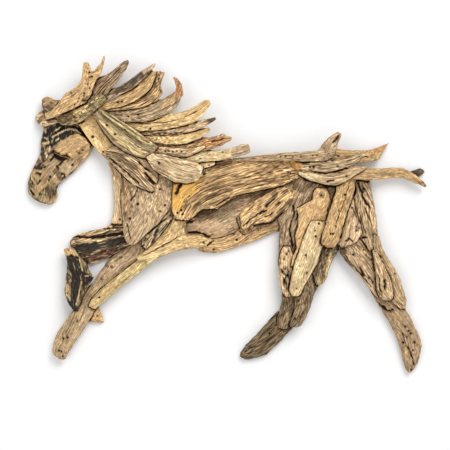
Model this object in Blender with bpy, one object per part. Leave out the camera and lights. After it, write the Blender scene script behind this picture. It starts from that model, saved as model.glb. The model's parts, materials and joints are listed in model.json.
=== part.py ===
"""Driftwood horse, a wall sculpture: weathered slabs and sticks laid over one another like shingles.

Frame: the horse stands upright along +Z and faces -X. The wall is the plane y = 0 and the relief
grows from it towards -Y. The origin is on the flat back of the flank slab, where the sculpture
bears on the wall.

Every piece of wood is a loft. Its courses give, in millimetres, where its two long edges run, and
its depths say how thick it is at its start, middle and end. The pieces are laid one after another,
back to front: each sinks towards the wall until three points of its flat back touch what lies
there already, which also gives it its tilt. A piece's outline, seen from the front, never changes.
"""

from collections import namedtuple
import math

import bmesh
import bpy
import numpy as np

# Driving dimensions, in millimetres unless a name says otherwise.
MM = 0.001
GAP = 0.3                    # left free between a piece and whatever it rests on
GRID = 1.0                   # cell of the height map that the pieces are laid on
MAP_LEFT, MAP_RIGHT = -480.0, 480.0
MAP_LOW, MAP_HIGH = -410.0, 360.0
STEEPEST = 0.22              # limit of a piece's slope against the wall
WORN_AWAY = 1.7              # the outlines are of the worn wood; the slabs reach this far past them
LONG_SPAN = 33.0             # a slab gets one more cross-section halfway along a longer span
NOSE_REACH = 0.30            # bevel of an end, as a part of its half width
NOSE_LIMIT = 5.0
NOSE_WIDTH, NOSE_DEPTH = 0.78, 0.62
TUCK = 7.5                   # most that a slab runs on under a piece that hides its edge
TUCK_SHARE = 0.40            # the same, as a part of the slab's half width
TUCK_STEP = 1.5
BRIDGE = 4.0                 # a piece farther than this from the edge doesn't count as hiding it
COVER = 2.5                  # a tucked edge stays at least this far inside the piece above it
FORK_LIFT = 0.8              # how far the back of a fork's second limb lies above the first's
STOUTEST, SPARE = 1.7, 2.0   # most depth for each unit of half width, and what is added to it
CREASE = 50.0                # edges sharper than this many degrees are shaded sharp
ROUGHNESS = 0.85             # of dry, weathered wood

# Half of the cross-section runs from a flat back to a crowned front; the other half mirrors it. Each
# corner has its share of the half width and of the depth, then how much of the tuck it follows where
# the edge is tucked, and its share of the depth there.
PROFILE = [(0.90, 0.0, 1.0, 0.0), (1.0, 0.38, 1.0, 0.12), (0.86, 0.78, 0.0, 0.42), (0.42, 1.0, 0.0, 0.95)]

TONES = {
    "pale": (0.62, 0.50, 0.27),
    "tan": (0.56, 0.40, 0.22),
    "orange": (0.62, 0.38, 0.16),
    "brown": (0.34, 0.22, 0.13),
    "grey": (0.27, 0.22, 0.14),
    "olive": (0.44, 0.38, 0.20),
    "charcoal": (0.08, 0.07, 0.06),
}

Piece = namedtuple("Piece", "name tone depths courses")
Section = namedtuple("Section", "middle half depth tucks")

# A course is a list of stations. A station is (xa, za, xb, zb), a point on each long edge, or
# (x, z, half width), a point on the middle line of a stick. A second course is a fork's other limb.


def trunk_base():
    """The flank slab that bears on the wall, the belly below it and the dark thigh behind."""
    return [
        Piece("flank_slab", "grey", (17, 15, 11), [[
            (-104, -42, -97, -70), (-68, -14, -62, -69), (-30, 4, -22, -76), (15, 32, 20, -63),
            (62, 48, 70, -38), (118, 52, 122, 14)]]),
        Piece("belly_slab", "orange", (10, 15, 10), [[
            (-66, -92, -66, -103), (-50, -86, -52, -109), (-20, -79, -20, -110), (20, -66, 20, -98),
            (55, -50, 58, -86), (90, -36, 92, -71), (122, -26, 122, -56)]]),
        Piece("thigh_dark", "brown", (14, 17, 9), [[
            (150, 72, 252, 56), (136, 30, 246, 28), (126, -10, 236, -10), (121.5, -50, 196, -56),
            (119, -90, 162, -98), (117, -128, 148, -122), (118, -150, 136, -148)]]),
    ]


def foreleg():
    """The folded leg, the reaching leg and the forked forearm that carries them."""
    return [
        Piece("heel_spur", "orange", (8, 10, 8), [[
            (-318, -236, -322, -264), (-304, -233, -306, -266), (-290, -233, -290, -268),
            (-283, -246, -281, -268.5), (-277.5, -259, -275.5, -267)]]),
        Piece("knee_slab", "charcoal", (12, 18, 13), [[
            (-208, -50, -204, -88), (-232, -46, -226, -99), (-252, -47, -250, -112),
            (-276, -55, -276, -125), (-300, -59, -304, -136), (-325, -64, -322, -127),
            (-346, -73, -340, -118), (-356, -86, -352, -104)]]),
        Piece("foreleg_plank", "brown", (9, 16, 14), [[
            (-198, -82, -182, -118), (-222, -97, -206, -135), (-250, -114, -238, -160),
            (-268, -128, -262, -182), (-284, -151, -280, -200), (-300, -178, -292, -220),
            (-322, -205, -297, -240), (-346, -240, -310, -265), (-365, -268, -322, -284),
            (-381, -291, -336, -304), (-390, -316, -349, -325), (-393, -336, -359, -340),
            (-379, -352, -365, -354)]]),
        Piece("shin_slab", "charcoal", (13, 17, 11), [[
            (-368, -99, -345, -98), (-363, -112, -335, -112), (-358, -132, -314, -130),
            (-359, -150, -310, -148), (-360, -165, -297, -165), (-361, -180, -305, -179),
            (-363, -200, -319, -200), (-354, -226, -329, -224), (-344, -240, -335, -241)]]),
        Piece("cannon_yellow", "pale", (8, 13, 9), [[
            (-178, -111, -170, -134), (-204, -130, -195, -154), (-232, -153, -222, -174),
            (-256, -172, -245, -193), (-282, -192, -268, -214), (-303, -215, -287, -230),
            (-311, -232, -297, -238)]]),
        Piece("forearm_slab", "tan", (8, 13, 10), [
            [(-205, -121, -198, -130), (-180, -104, -160, -117), (-160, -86, -130, -106),
             (-142, -64, -92, -84), (-133, -46, -92, -60), (-124, -24, -96, -28)],
            [(-182, -113, -178, -137), (-150, -97, -150, -121), (-118, -76, -118, -108),
             (-88, -71, -88, -101), (-60, -71.5, -60, -99), (-42, -76, -44, -93),
             (-28, -80, -30, -83)]]),
        Piece("bark_curl", "grey", (6, 9, 6), [[
            (-120, -20, 4), (-135, -38, 8), (-152, -58, 10), (-172, -80, 11), (-186, -99, 6)]]),
    ]


def chest():
    """The upright slabs between throat and knee."""
    return [
        Piece("chest_strip", "pale", (6, 11, 10), [[
            (-270, 96, -250, 100), (-261, 78, -236, 82), (-256, 49, -228, 50), (-252, 0, -224, 0),
            (-258, -35, -224, -35), (-259, -46, -230, -48)]]),
        Piece("chest_slab", "brown", (8, 17, 10), [[
            (-220, 86, -146, 90), (-234, 50, -121, 54), (-236, 12, -123, 14),
            (-234, -18, -131, -17), (-230, -50, -155, -47), (-229, -73, -180, -69),
            (-223, -88, -195, -84), (-216, -94, -206, -93)]]),
    ]


def hind_legs():
    """Both hind legs, from the hooves up to the planks of the rump."""
    return [
        Piece("hoof_left", "grey", (12, 20, 9), [[
            (120, -239, 152, -268), (98, -262, 137, -294), (70, -294, 112, -321),
            (45, -319, 92, -340), (32, -337, 62, -350), (30, -346, 42, -353)]]),
        Piece("shank_left", "grey", (9, 16, 11), [[
            (130, -190, 156, -190), (127, -208, 158, -208), (123, -235, 153, -240),
            (115, -258, 145, -260), (115, -274, 140, -276), (121, -283, 134, -284)]]),
        Piece("shank_right", "grey", (9, 18, 12), [[
            (180, -145, 206, -150), (168, -175, 203, -182), (162, -205, 198, -205),
            (156, -232, 190, -233), (148, -256, 180, -256), (142, -272, 169, -273),
            (147, -279, 160, -278.5)]]),
        Piece("splint_tan", "tan", (9, 13, 9), [[
            (129, -94, 144, -94), (124, -108, 149, -110), (119, -130, 152, -130),
            (118, -160, 152, -160), (121, -178, 152, -180), (126, -198, 149, -200),
            (134, -210.5, 144, -211)]]),
        Piece("gaskin_stub", "grey", (10, 14, 9), [[
            (222, -92, 254, -96), (206, -118, 245, -120), (198, -142, 233, -142),
            (199, -165, 228, -165), (202, -181, 221, -177), (209, -186, 214, -184)]]),
        Piece("hoof_right", "tan", (10, 20, 12), [[
            (322, -185, 352, -190), (340, -220, 376, -210), (366, -262, 406, -238),
            (387, -303, 432, -288), (399, -345, 443, -320), (405, -369, 436, -356),
            (412, -383, 421, -382)]]),
        Piece("gaskin_tan", "tan", (10, 17, 10), [[
            (254, -90, 313, -74), (255, -108, 320, -94), (272, -131, 328, -112), (296, -157, 338, -140),
            (317, -183, 350, -170), (334, -204, 360, -195), (346, -213, 360, -209)]]),
        Piece("rump_slab", "grey", (12, 19, 10), [[
            (288, 62, 319, 60), (288, 25, 331, 22), (292, -5, 336, -5), (298, -37, 339.5, -37),
            (306, -68, 342, -68), (316, -92, 338, -94), (324, -107, 334, -106)]]),
        Piece("gaskin_rear", "tan", (7, 14, 11), [[
            (332, -66, 344, -70), (332, -96, 351, -99), (342, -122, 367, -126),
            (356, -145, 381, -146), (366, -168, 392, -168), (373, -192, 399, -192),
            (375, -214, 407, -214), (391, -236, 406, -238)]]),
        Piece("gaskin_front", "pale", (7, 13, 9), [[
            (328, -103, 338, -107), (333, -130, 353, -135), (337, -162, 368, -166),
            (338, -192, 375, -196), (344, -208, 376, -212), (356, -218.5, 371, -218.5)]]),
        Piece("map_slab", "orange", (9, 12, 7), [[
            (204, 38, 225, 38), (196, 24, 233, 22), (195, 8, 234, 6), (182, 4, 232, -4),
            (158, -11, 229, -20), (163, -26, 224, -34), (162, -48, 205, -46), (155, -72, 185, -72),
            (160, -98, 172, -98), (150, -120, 160, -122), (146, -142, 152, -142)]]),
        Piece("pale_slab", "pale", (8, 15, 11), [[
            (193, -36, 224, -38), (181, -58, 222, -58), (172, -80, 216, -84), (164, -106, 212, -108),
            (154, -132, 205, -134), (147, -160, 190, -160), (144, -184, 176, -184),
            (143, -199, 166, -203), (150, -209, 161, -209.5)]]),
        Piece("thigh_wedge", "tan", (5, 11, 9), [[
            (281, 17, 288, 15), (272, -10, 291, -14), (262, -40, 303, -44), (256, -70, 306, -66),
            (254, -90, 294, -86), (258, -102, 272, -97)]]),
        Piece("thigh_plank", "orange", (8, 15, 12), [[
            (262, 58, 291, 62), (248, 28, 288, 28), (236, -5, 277, -5), (225, -40, 265, -40),
            (216, -70, 256, -70), (212, -88, 250, -86), (226, -100, 242, -99)]]),
    ]


def barrel():
    """The loin and the great ribbed slab of the barrel, which laps over the flank."""
    return [
        Piece("loin_slab", "tan", (9, 13, 8), [[
            (27, -24, 33, -62), (40, -10, 48, -66), (60, 4, 70, -52), (88, 20, 104, -45),
            (112, 34, 131, -20), (134, 40, 149, 6), (147, 33, 156, 17)]]),
        Piece("barrel_slab", "brown", (13, 20, 9), [[
            (-119, 62, -124, -12), (-104, 76, -112, -36), (-80, 84, -82, -36), (-50, 90, -52, -11),
            (-20, 97, -20, -11), (20, 99, 22, 19), (60, 104, 66, 29), (100, 107, 106, 37),
            (135, 104, 138, 46), (157, 94, 156, 55), (168, 78, 166, 64)]]),
    ]


def tail_and_croup():
    """The branches that run out behind the rump and along the top of the back."""
    return [
        Piece("tail_stub", "charcoal", (8, 10, 7), [[
            (404, 62, 416, 73), (420, 65, 427, 77), (434, 65, 437, 81), (446, 68, 446, 80),
            (451, 72, 450, 77)]]),
        Piece("tail_lower", "tan", (8, 13, 6), [[
            (272, 80, 274, 56), (318, 80, 318, 55), (350, 80, 350, 56), (378, 82, 376, 60),
            (400, 81, 402, 59), (428, 66, 420, 50), (446, 50, 440, 43), (454, 40, 451, 37)]]),
        Piece("tail_upper", "orange", (7, 12, 5), [[
            (246, 121, 250, 97), (300, 121, 300, 92), (322, 122, 322, 94), (340, 127, 346, 101),
            (356, 133, 356, 119), (370, 138.5, 367, 135)]]),
        Piece("hip_slab", "pale", (6, 12, 7), [[
            (159, 71, 161, 67), (183, 72, 190, 52), (215, 74, 216, 46), (248, 78, 250, 42),
            (275, 82, 278, 56), (298, 83, 298, 70), (318, 85, 316, 81)]]),
        Piece("croup_slab", "brown", (7, 12, 6), [[
            (148, 98, 154, 78), (200, 98, 200, 73), (232, 102, 232, 72), (260, 103, 262, 79),
            (282, 104, 286, 90), (310, 118, 316, 110)]]),
        Piece("back_branch", "olive", (5, 12, 9), [
            [(12, 98.5, 2), (60, 101.5, 5), (120, 105.5, 8), (180, 106, 11), (222, 109, 12),
             (246, 116, 7)],
            [(198, 112, 236, 101), (209, 122, 246, 113), (217, 135, 249, 127), (230, 149, 251, 139),
             (244, 158, 257, 148), (253, 163, 261, 158)]]),
    ]


def head():
    """The skull and its cheek, the brow, the forelock and the throat."""
    return [
        Piece("head_slab", "tan", (10, 19, 14), [[
            (-405, 189, -322, 172), (-413, 165, -304, 138), (-419, 142, -306, 116),
            (-419, 118, -316, 101), (-430, 93, -340, 77), (-442, 71, -364, 56),
            (-448, 49, -379, 43), (-449, 34, -384, 31), (-445, 20, -380, 19),
            (-434, 9, -386, 6), (-421, 1, -399, -3)]]),
        Piece("cheek_slab", "tan", (4, 9, 6), [[
            (-388, 123, -388, 116), (-373, 140, -374, 108), (-353, 154, -352, 102),
            (-332, 159, -332, 101), (-315, 149, -317, 103), (-306, 134, -308, 115)]]),
        Piece("brow_stub", "tan", (9, 12, 5), [[
            (-434, 198, -431, 188), (-425, 205, -419, 176), (-411, 208, -405, 175),
            (-390, 207, -384, 183), (-370, 204, -368, 190)]]),
        Piece("forelock_knob", "brown", (9, 12, 5), [[
            (-417.5, 230, -417.5, 225), (-413, 240, -413, 211), (-405, 243.5, -405, 203),
            (-396, 240, -396, 202), (-386, 233.5, -387, 206), (-368, 230, -370, 218)]]),
        Piece("throat_slab", "pale", (6, 10, 7), [[
            (-336, 186, -288, 208), (-318, 158, -274, 175), (-298, 130, -256, 152),
            (-280, 110, -246, 126), (-266, 98, -244, 108)]]),
    ]


def neck_and_poll():
    """The striped neck slab, the poll, the two-pronged ear and the oval on the shoulder."""
    return [
        Piece("neck_slab", "olive", (6, 12, 8), [[
            (-297, 219, -298, 208), (-272, 207, -288, 184), (-248, 194, -275, 162),
            (-222, 178, -254, 136), (-203, 166, -230, 119), (-185, 152, -205, 108),
            (-168, 140, -182, 103), (-155, 130, -166, 109), (-151, 126, -157, 118)]]),
        Piece("poll_slab", "olive", (6, 9, 4), [[
            (-384, 192, -374, 178), (-360, 204, -350, 177), (-335, 216, -325, 184),
            (-312, 230, -300, 202), (-292, 241, -282, 218), (-274, 247, -265, 236)]]),
        Piece("ear_slab", "tan", (6, 10, 6), [
            [(-409, 201, -404, 187), (-393, 206, -380, 196), (-377, 222, -362, 204),
             (-362, 245, -342, 212),
             (-336, 261, -312, 227), (-325, 276, -299, 248), (-321, 294, -299, 276),
             (-321, 306, -302, 302), (-318, 319, -309, 318)],
            [(-316, 270, -299, 254), (-304, 292, -291, 276), (-291, 302, -279, 291),
             (-282, 311, -276, 304), (-272, 333, -270, 331)]]),
        Piece("shoulder_oval", "olive", (5, 12, 6), [[
            (-181, 104, -176, 96), (-165, 113, -164, 78), (-145, 112, -142, 63),
            (-118, 105, -116, 49), (-90, 98, -88, 46), (-65, 92, -64, 51), (-49, 81, -53, 67)]]),
    ]


def neck_bark():
    """The barked slab at the base of the neck, which the mane's roots cross."""
    return [
        Piece("neck_bark", "brown", (7, 12, 6), [[
            (-280, 114, -262, 130), (-250, 84, -216, 131), (-225, 58, -184, 118),
            (-206, 42, -160, 92), (-180, 32, -153, 54), (-164, 25, -158, 36)]]),
    ]


def mane():
    """Twelve tapering sticks that fan out behind the neck, each lapping over the one below."""
    return [
        Piece("mane_short", "pale", (4, 7, 6), [[
            (-122, 92, 5), (-80, 90, 6), (-45, 88, 6), (-23, 92, 3)]]),
        Piece("mane_long", "pale", (4, 10, 11), [[
            (-160, 109, 4), (-120, 103, 6), (-80, 102, 8), (-48, 107, 11.5), (-20, 108, 11), (10, 113, 11),
            (38, 122, 12), (55, 125, 9)]]),
        Piece("mane_forked", "orange", (3, 9, 8), [
            [(-172, 132, 5), (-140, 128, 6), (-100, 127, 9), (-55, 132, 13), (-15, 142, 12),
             (-1, 157, 3)],
            [(-50, 131, 9), (-15, 139, 10), (2, 146, 7), (16, 146, 2)]]),
        Piece("mane_freckled", "orange", (3, 8, 4), [[
            (-176, 124, 5), (-150, 121, 7), (-120, 118, 9), (-85, 115, 8.5), (-45, 129, 1.5)]]),
        Piece("mane_honey", "orange", (3, 9, 6), [[
            (-200, 160, 6), (-170, 151, 8), (-130, 145, 11), (-90, 147, 11), (-60, 156, 9),
            (-34, 169, 2)]]),
        Piece("mane_dark_tip", "brown", (3, 7, 5), [[
            (-214, 168, 4), (-180, 161, 5), (-130, 162, 6), (-90, 167, 7), (-50, 180, 8),
            (-21, 192, 2)]]),
        Piece("mane_gold", "pale", (3, 9, 8), [[
            (-231, 187, -233, 177), (-204, 182, -206, 166), (-160, 190, -157, 165.5),
            (-116, 203, -106, 173), (-82, 211, -68, 184), (-62, 224, -53, 197),
            (-49, 232.5, -43, 209), (-36, 235, -33, 226)]]),
        Piece("mane_sickle", "brown", (3, 9, 5), [[
            (-284, 212, 4), (-240, 202, 12), (-190, 201, 17), (-150, 212, 17), (-119, 232, 15),
            (-104, 250, 9), (-106, 268, 6), (-117, 288, 1.5)]]),
        Piece("mane_broad", "brown", (3, 8, 7), [[
            (-278, 217, -277, 209), (-226, 226, -223, 213), (-196, 236, -186, 218),
            (-181, 255, -156, 231), (-168, 271, -141, 249), (-160, 286, -147, 268),
            (-155, 296, -142, 285), (-150, 303, -137, 300)]]),
        Piece("mane_flame", "orange", (3, 9, 6), [[
            (-297, 214, 4), (-280, 219, 7), (-240, 229, 11), (-205, 247, 14), (-180, 271, 15),
            (-159, 300, 4)]]),
        Piece("mane_black_stick", "charcoal", (3, 8, 4), [[
            (-292, 235, 6), (-272, 242, 8), (-240, 254, 8.5), (-210, 271, 10), (-186, 292, 8),
            (-157, 316, 1.5)]]),
        Piece("mane_dark_red", "brown", (3, 9, 4), [[
            (-311, 240, -294, 226), (-297, 257, -276, 242), (-283, 280, -259, 257), (-252, 301, -238, 282),
            (-234, 318, -224, 304), (-220, 325, -216, 321)]]),
    ]


def build_order():
    """Every piece, back to front."""
    front = trunk_base() + foreleg() + chest()
    rear = hind_legs() + barrel() + tail_and_croup()
    return front + rear + head() + neck_bark() + mane() + neck_and_poll()


def clear_scene():
    for item in list(bpy.data.objects):
        bpy.data.objects.remove(item, do_unlink=True)


def wood(tone):
    """The plain wood material of a tone, made once."""
    material = bpy.data.materials.get(tone)
    if material is None:
        material = bpy.data.materials.new(tone)
        material.use_nodes = True
        shader = material.node_tree.nodes["Principled BSDF"]
        shader.inputs["Base Color"].default_value = (*TONES[tone], 1.0)
        shader.inputs["Roughness"].default_value = ROUGHNESS
        shader.inputs["Metallic"].default_value = 0.0
    return material


def edge_stations(course):
    """A course as rows of (xa, za, xb, zb); a stick's edges lie square to its middle line."""
    middles = [(s[0], s[1]) if len(s) == 3 else ((s[0] + s[2]) / 2, (s[1] + s[3]) / 2) for s in course]
    rows = []
    for index, station in enumerate(course):
        if len(station) == 4:
            rows.append(station)
            continue
        before = middles[max(index - 1, 0)]
        after = middles[min(index + 1, len(course) - 1)]
        run = math.hypot(after[0] - before[0], after[1] - before[1])
        across = (-(after[1] - before[1]) / run * station[2], (after[0] - before[0]) / run * station[2])
        rows.append((station[0] + across[0], station[1] + across[1],
                     station[0] - across[0], station[1] - across[1]))
    return np.array(rows, dtype=float)


def smooth_rows(rows, spots):
    """Rows of a Catmull-Rom curve through the stations, at the given spots along them."""
    padded = np.vstack([rows[0], rows, rows[-1]])
    result = []
    for spot in spots:
        span = min(int(spot), len(rows) - 2)
        t = spot - span
        p0, p1, p2, p3 = padded[span:span + 4]
        result.append(0.5 * (2 * p1 + (p2 - p0) * t + (2 * p0 - 5 * p1 + 4 * p2 - p3) * t ** 2
                             + (3 * p1 - p0 - 3 * p2 + p3) * t ** 3))
    return np.array(result)


def outline(course):
    """The outline of a course as seen from the front, as a closed ring of points."""
    rows = edge_stations(course)
    return np.vstack([rows[:, :2], rows[::-1, 2:]])


def encloses(ring, point):
    """Whether a point lies inside a ring."""
    x, z = point
    inside = False
    for (xa, za), (xb, zb) in zip(ring, np.roll(ring, -1, axis=0)):
        if (za > z) != (zb > z) and x < (xb - xa) * (z - za) / (zb - za) + xa:
            inside = not inside
    return inside


def tuck(point, outward, covers):
    """How far an edge runs on outwards so that it ends under a piece that is laid over it."""
    near = [ring for ring in covers if encloses(ring, point + outward * BRIDGE)]
    for reach in np.arange(TUCK, 0.0, -TUCK_STEP):
        if any(encloses(ring, point + outward * (reach + COVER)) for ring in near):
            return reach
    return 0.0


def end_tuck(row, inner, covers):
    """How far a whole end runs on: no farther than any of its corners is hidden."""
    middle = (row[:2] + row[2:]) / 2
    away = middle - (inner[:2] + inner[2:]) / 2
    outward = away / np.hypot(*away)
    reach = min(tuck(point, outward, covers) for point in (row[:2], middle, row[2:]))
    return np.tile(outward * reach, 2)


def section_spots(reached, start_nose, end_nose):
    """Distances of the cross-sections: both tips, both bevels, the stations and the long spans."""
    length = reached[-1]
    stations = [d for d in reached[1:-1] if 2 * start_nose < d < length - 2 * end_nose]
    spots = [start_nose] + stations + [length - end_nose]
    between = [(a + b) / 2 for a, b in zip(spots, spots[1:]) if b - a > LONG_SPAN]
    return np.array([0.0] + sorted(spots + between) + [length])


def sections(course, depths, covers):
    """Cross-sections of a slab from end to end."""
    rows = edge_stations(course)
    rows[0] += end_tuck(rows[0], rows[1], covers)
    rows[-1] += end_tuck(rows[-1], rows[-2], covers)
    middles = (rows[:, :2] + rows[:, 2:]) / 2
    reached = np.concatenate([[0.0], np.cumsum(np.hypot(*np.diff(middles, axis=0).T))])
    half_widths = np.hypot(*(rows[:, 2:] - rows[:, :2]).T) / 2
    start_nose = min(NOSE_REACH * half_widths[0], NOSE_LIMIT)
    end_nose = min(NOSE_REACH * half_widths[-1], NOSE_LIMIT)
    distances = section_spots(reached, start_nose, end_nose)
    smooth = smooth_rows(rows, np.interp(distances, reached, np.arange(len(rows))))
    start, centre, end = depths
    result = []
    for distance, row in zip(distances, smooth):
        part = distance / reached[-1]
        half = (row[2:] - row[:2]) / 2
        half = half * (1 + WORN_AWAY / np.hypot(*half))
        depth = start * (1 - part) * (1 - 2 * part) + 4 * centre * part * (1 - part)
        depth += end * part * (2 * part - 1)
        depth = min(depth, STOUTEST * np.hypot(*half) + SPARE)
        across = half / np.hypot(*half)
        most = TUCK_SHARE * np.hypot(*half)
        tucks = [min(most, tuck(row[:2], -across, covers)), min(most, tuck(row[2:], across, covers))]
        if part in (0.0, 1.0):
            half = half * NOSE_WIDTH
            depth = depth * NOSE_DEPTH
        result.append(Section((row[:2] + row[2:]) / 2, half, depth, tucks))
    return result


def ring_of(section, lift):
    """The corners of one cross-section: x, depth from the back, z."""
    across = section.half / np.hypot(*section.half)
    ring = []
    for side, reach in ((1, section.tucks[1]), (-1, section.tucks[0])):
        corners = []
        for share, height, follow, tucked_height in PROFILE:
            x, z = section.middle + side * (section.half * share + across * reach * follow)
            height += (tucked_height - height) * reach / TUCK
            corners.append((x, lift + height * section.depth, z))
        ring += corners if side > 0 else corners[::-1]
    return ring


def loft(course, depths, covers, lift=0.0):
    """A closed slab lying on its flat back: x, depth from the back, z, in millimetres."""
    solid = bmesh.new()
    rings = []
    for section in sections(course, depths, covers):
        rings.append([solid.verts.new(corner) for corner in ring_of(section, lift)])
    for ring, following in zip(rings, rings[1:]):
        for index in range(len(ring)):
            after = (index + 1) % len(ring)
            solid.faces.new((ring[index], ring[after], following[after], following[index]))
    solid.faces.new(rings[0])
    solid.faces.new(rings[-1])
    bmesh.ops.recalc_face_normals(solid, faces=solid.faces)
    mesh = bpy.data.meshes.new("slab")
    solid.to_mesh(mesh)
    solid.free()
    return mesh


def joined(piece, covers, collection):
    """One mesh for a piece; a fork's limbs are grown together by a Boolean union."""
    limbs = [loft(course, piece.depths, covers, lift=FORK_LIFT * index)
             for index, course in enumerate(piece.courses)]
    if len(limbs) == 1:
        return limbs[0]
    stem = bpy.data.objects.new("stem", limbs[0])
    limb = bpy.data.objects.new("limb", limbs[1])
    for item in (stem, limb):
        collection.objects.link(item)
    union = stem.modifiers.new("fork", "BOOLEAN")
    union.operation = "UNION"
    union.solver = "EXACT"
    union.object = limb
    bpy.context.view_layer.update()
    whole = bpy.data.meshes.new_from_object(stem.evaluated_get(bpy.context.evaluated_depsgraph_get()))
    for item in (stem, limb):
        bpy.data.objects.remove(item, do_unlink=True)
    return whole


class ReliefMap:
    """Height of the relief above the wall, on a grid of square cells."""

    def __init__(self):
        self.xs = np.arange(MAP_LEFT, MAP_RIGHT, GRID)
        self.zs = np.arange(MAP_LOW, MAP_HIGH, GRID)
        self.height = np.zeros((len(self.xs), len(self.zs)))

    def covered(self, corners):
        """Cells that a triangle covers, grown by one cell, with its height at each of them."""
        flat = corners[:, [0, 2]]
        low = np.floor((flat.min(axis=0) - (MAP_LEFT, MAP_LOW)) / GRID).astype(int) - 1
        high = np.ceil((flat.max(axis=0) - (MAP_LEFT, MAP_LOW)) / GRID).astype(int) + 2
        gx, gz = np.meshgrid(self.xs[low[0]:high[0]], self.zs[low[1]:high[1]], indexing="ij")
        (ax, az), (bx, bz), (cx, cz) = flat
        area = (bx - ax) * (cz - az) - (cx - ax) * (bz - az)
        if abs(area) < 1e-6:
            return None
        weight_b = ((gx - ax) * (cz - az) - (cx - ax) * (gz - az)) / area
        weight_c = ((bx - ax) * (gz - az) - (gx - ax) * (bz - az)) / area
        weight_a = 1.0 - weight_b - weight_c
        inside = np.ones(gx.shape, dtype=bool)
        for weight, (p, q) in zip((weight_a, weight_b, weight_c), ((1, 2), (2, 0), (0, 1))):
            reach = abs(area) / max(np.hypot(*(flat[q] - flat[p])), 1e-6)
            inside &= weight * reach > -GRID
        level = weight_a * corners[0, 1] + weight_b * corners[1, 1] + weight_c * corners[2, 1]
        level = np.clip(level, corners[:, 1].min(), corners[:, 1].max())
        ix, iz = np.nonzero(inside)
        return ix + low[0], iz + low[1], level[ix, iz]

    def add(self, triangles):
        for corners in triangles:
            cells = self.covered(corners)
            if cells is not None:
                ix, iz, level = cells
                self.height[ix, iz] = np.maximum(self.height[ix, iz], level)

    def under(self, triangles):
        """Where a piece lies, and how high the relief already is there."""
        mask = np.zeros(self.height.shape, dtype=bool)
        for corners in triangles:
            cells = self.covered(corners)
            if cells is not None:
                mask[cells[0], cells[1]] = True
        ix, iz = np.nonzero(mask)
        return self.xs[ix], self.zs[iz], self.height[ix, iz]


def lowest(function, low, high, rounds=26):
    """Where a convex function of one number is least, by golden-section search."""
    golden = (math.sqrt(5) - 1) / 2
    left = high - golden * (high - low)
    right = low + golden * (high - low)
    value_left, value_right = function(left), function(right)
    for _ in range(rounds):
        if value_left < value_right:
            high, right, value_right = right, left, value_left
            left = high - golden * (high - low)
            value_left = function(left)
        else:
            low, left, value_left = left, right, value_right
            right = low + golden * (high - low)
            value_right = function(right)
    return (low + high) / 2


def resting_plane(xs, zs, heights):
    """Slopes and level of the back plane that lies lowest over its own centre."""
    floor = np.where(heights > 0, heights + GAP, 0.0)
    dx, dz = xs - xs.mean(), zs - zs.mean()

    def level(slope_x, slope_z):
        return (floor - slope_x * dx - slope_z * dz).max()

    def best_slope_z(slope_x):
        return lowest(lambda slope_z: level(slope_x, slope_z), -STEEPEST, STEEPEST)

    slope_x = lowest(lambda slope: level(slope, best_slope_z(slope)), -STEEPEST, STEEPEST)
    slope_z = best_slope_z(slope_x)
    constant = level(slope_x, slope_z) - slope_x * xs.mean() - slope_z * zs.mean()
    return slope_x, slope_z, constant


def triangle_corners(mesh, points):
    mesh.calc_loop_triangles()
    return np.array([[points[index] for index in triangle.vertices] for triangle in mesh.loop_triangles])


def lay(piece, covers, relief, collection):
    """Shape a piece, settle it on the relief and add it there."""
    mesh = joined(piece, covers, collection)
    mesh.name = piece.name
    points = np.array([vertex.co for vertex in mesh.vertices])
    xs, zs, heights = relief.under(triangle_corners(mesh, points))
    if heights.max() > 0:
        slope_x, slope_z, constant = resting_plane(xs, zs, heights)
        points[:, 1] += slope_x * points[:, 0] + slope_z * points[:, 2] + constant
    relief.add(triangle_corners(mesh, points))
    for vertex, (x, depth, z) in zip(mesh.vertices, points):
        vertex.co = (x * MM, -depth * MM, z * MM)
    mesh.flip_normals()
    mesh.shade_smooth()
    mesh.set_sharp_from_angle(angle=math.radians(CREASE))
    mesh.materials.clear()
    mesh.materials.append(wood(piece.tone))
    item = bpy.data.objects.new(piece.name, mesh)
    collection.objects.link(item)


def main():
    clear_scene()
    collection = bpy.data.collections.new("driftwood_horse")
    bpy.context.scene.collection.children.link(collection)
    relief = ReliefMap()
    pieces = build_order()
    for index, piece in enumerate(pieces):
        covers = [outline(course) for later in pieces[index + 1:] for course in later.courses]
        lay(piece, covers, relief, collection)


main()
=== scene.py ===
"""Looks of the driftwood horse: every slab and stick as weathered wood, in front of a pale wall.

Each CAD piece is remeshed finely along its own grain, rounded off and worn down from there: ridges,
furrows, cracks, worm holes, ragged edges and frayed ends are all cut inwards, so no piece leaves the
box of its solid. Places and sizes in the tables are millimetres in the model's frame: X right, Z up.
"""

from collections import namedtuple
from functools import partial
from itertools import product
import json
import math

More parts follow.
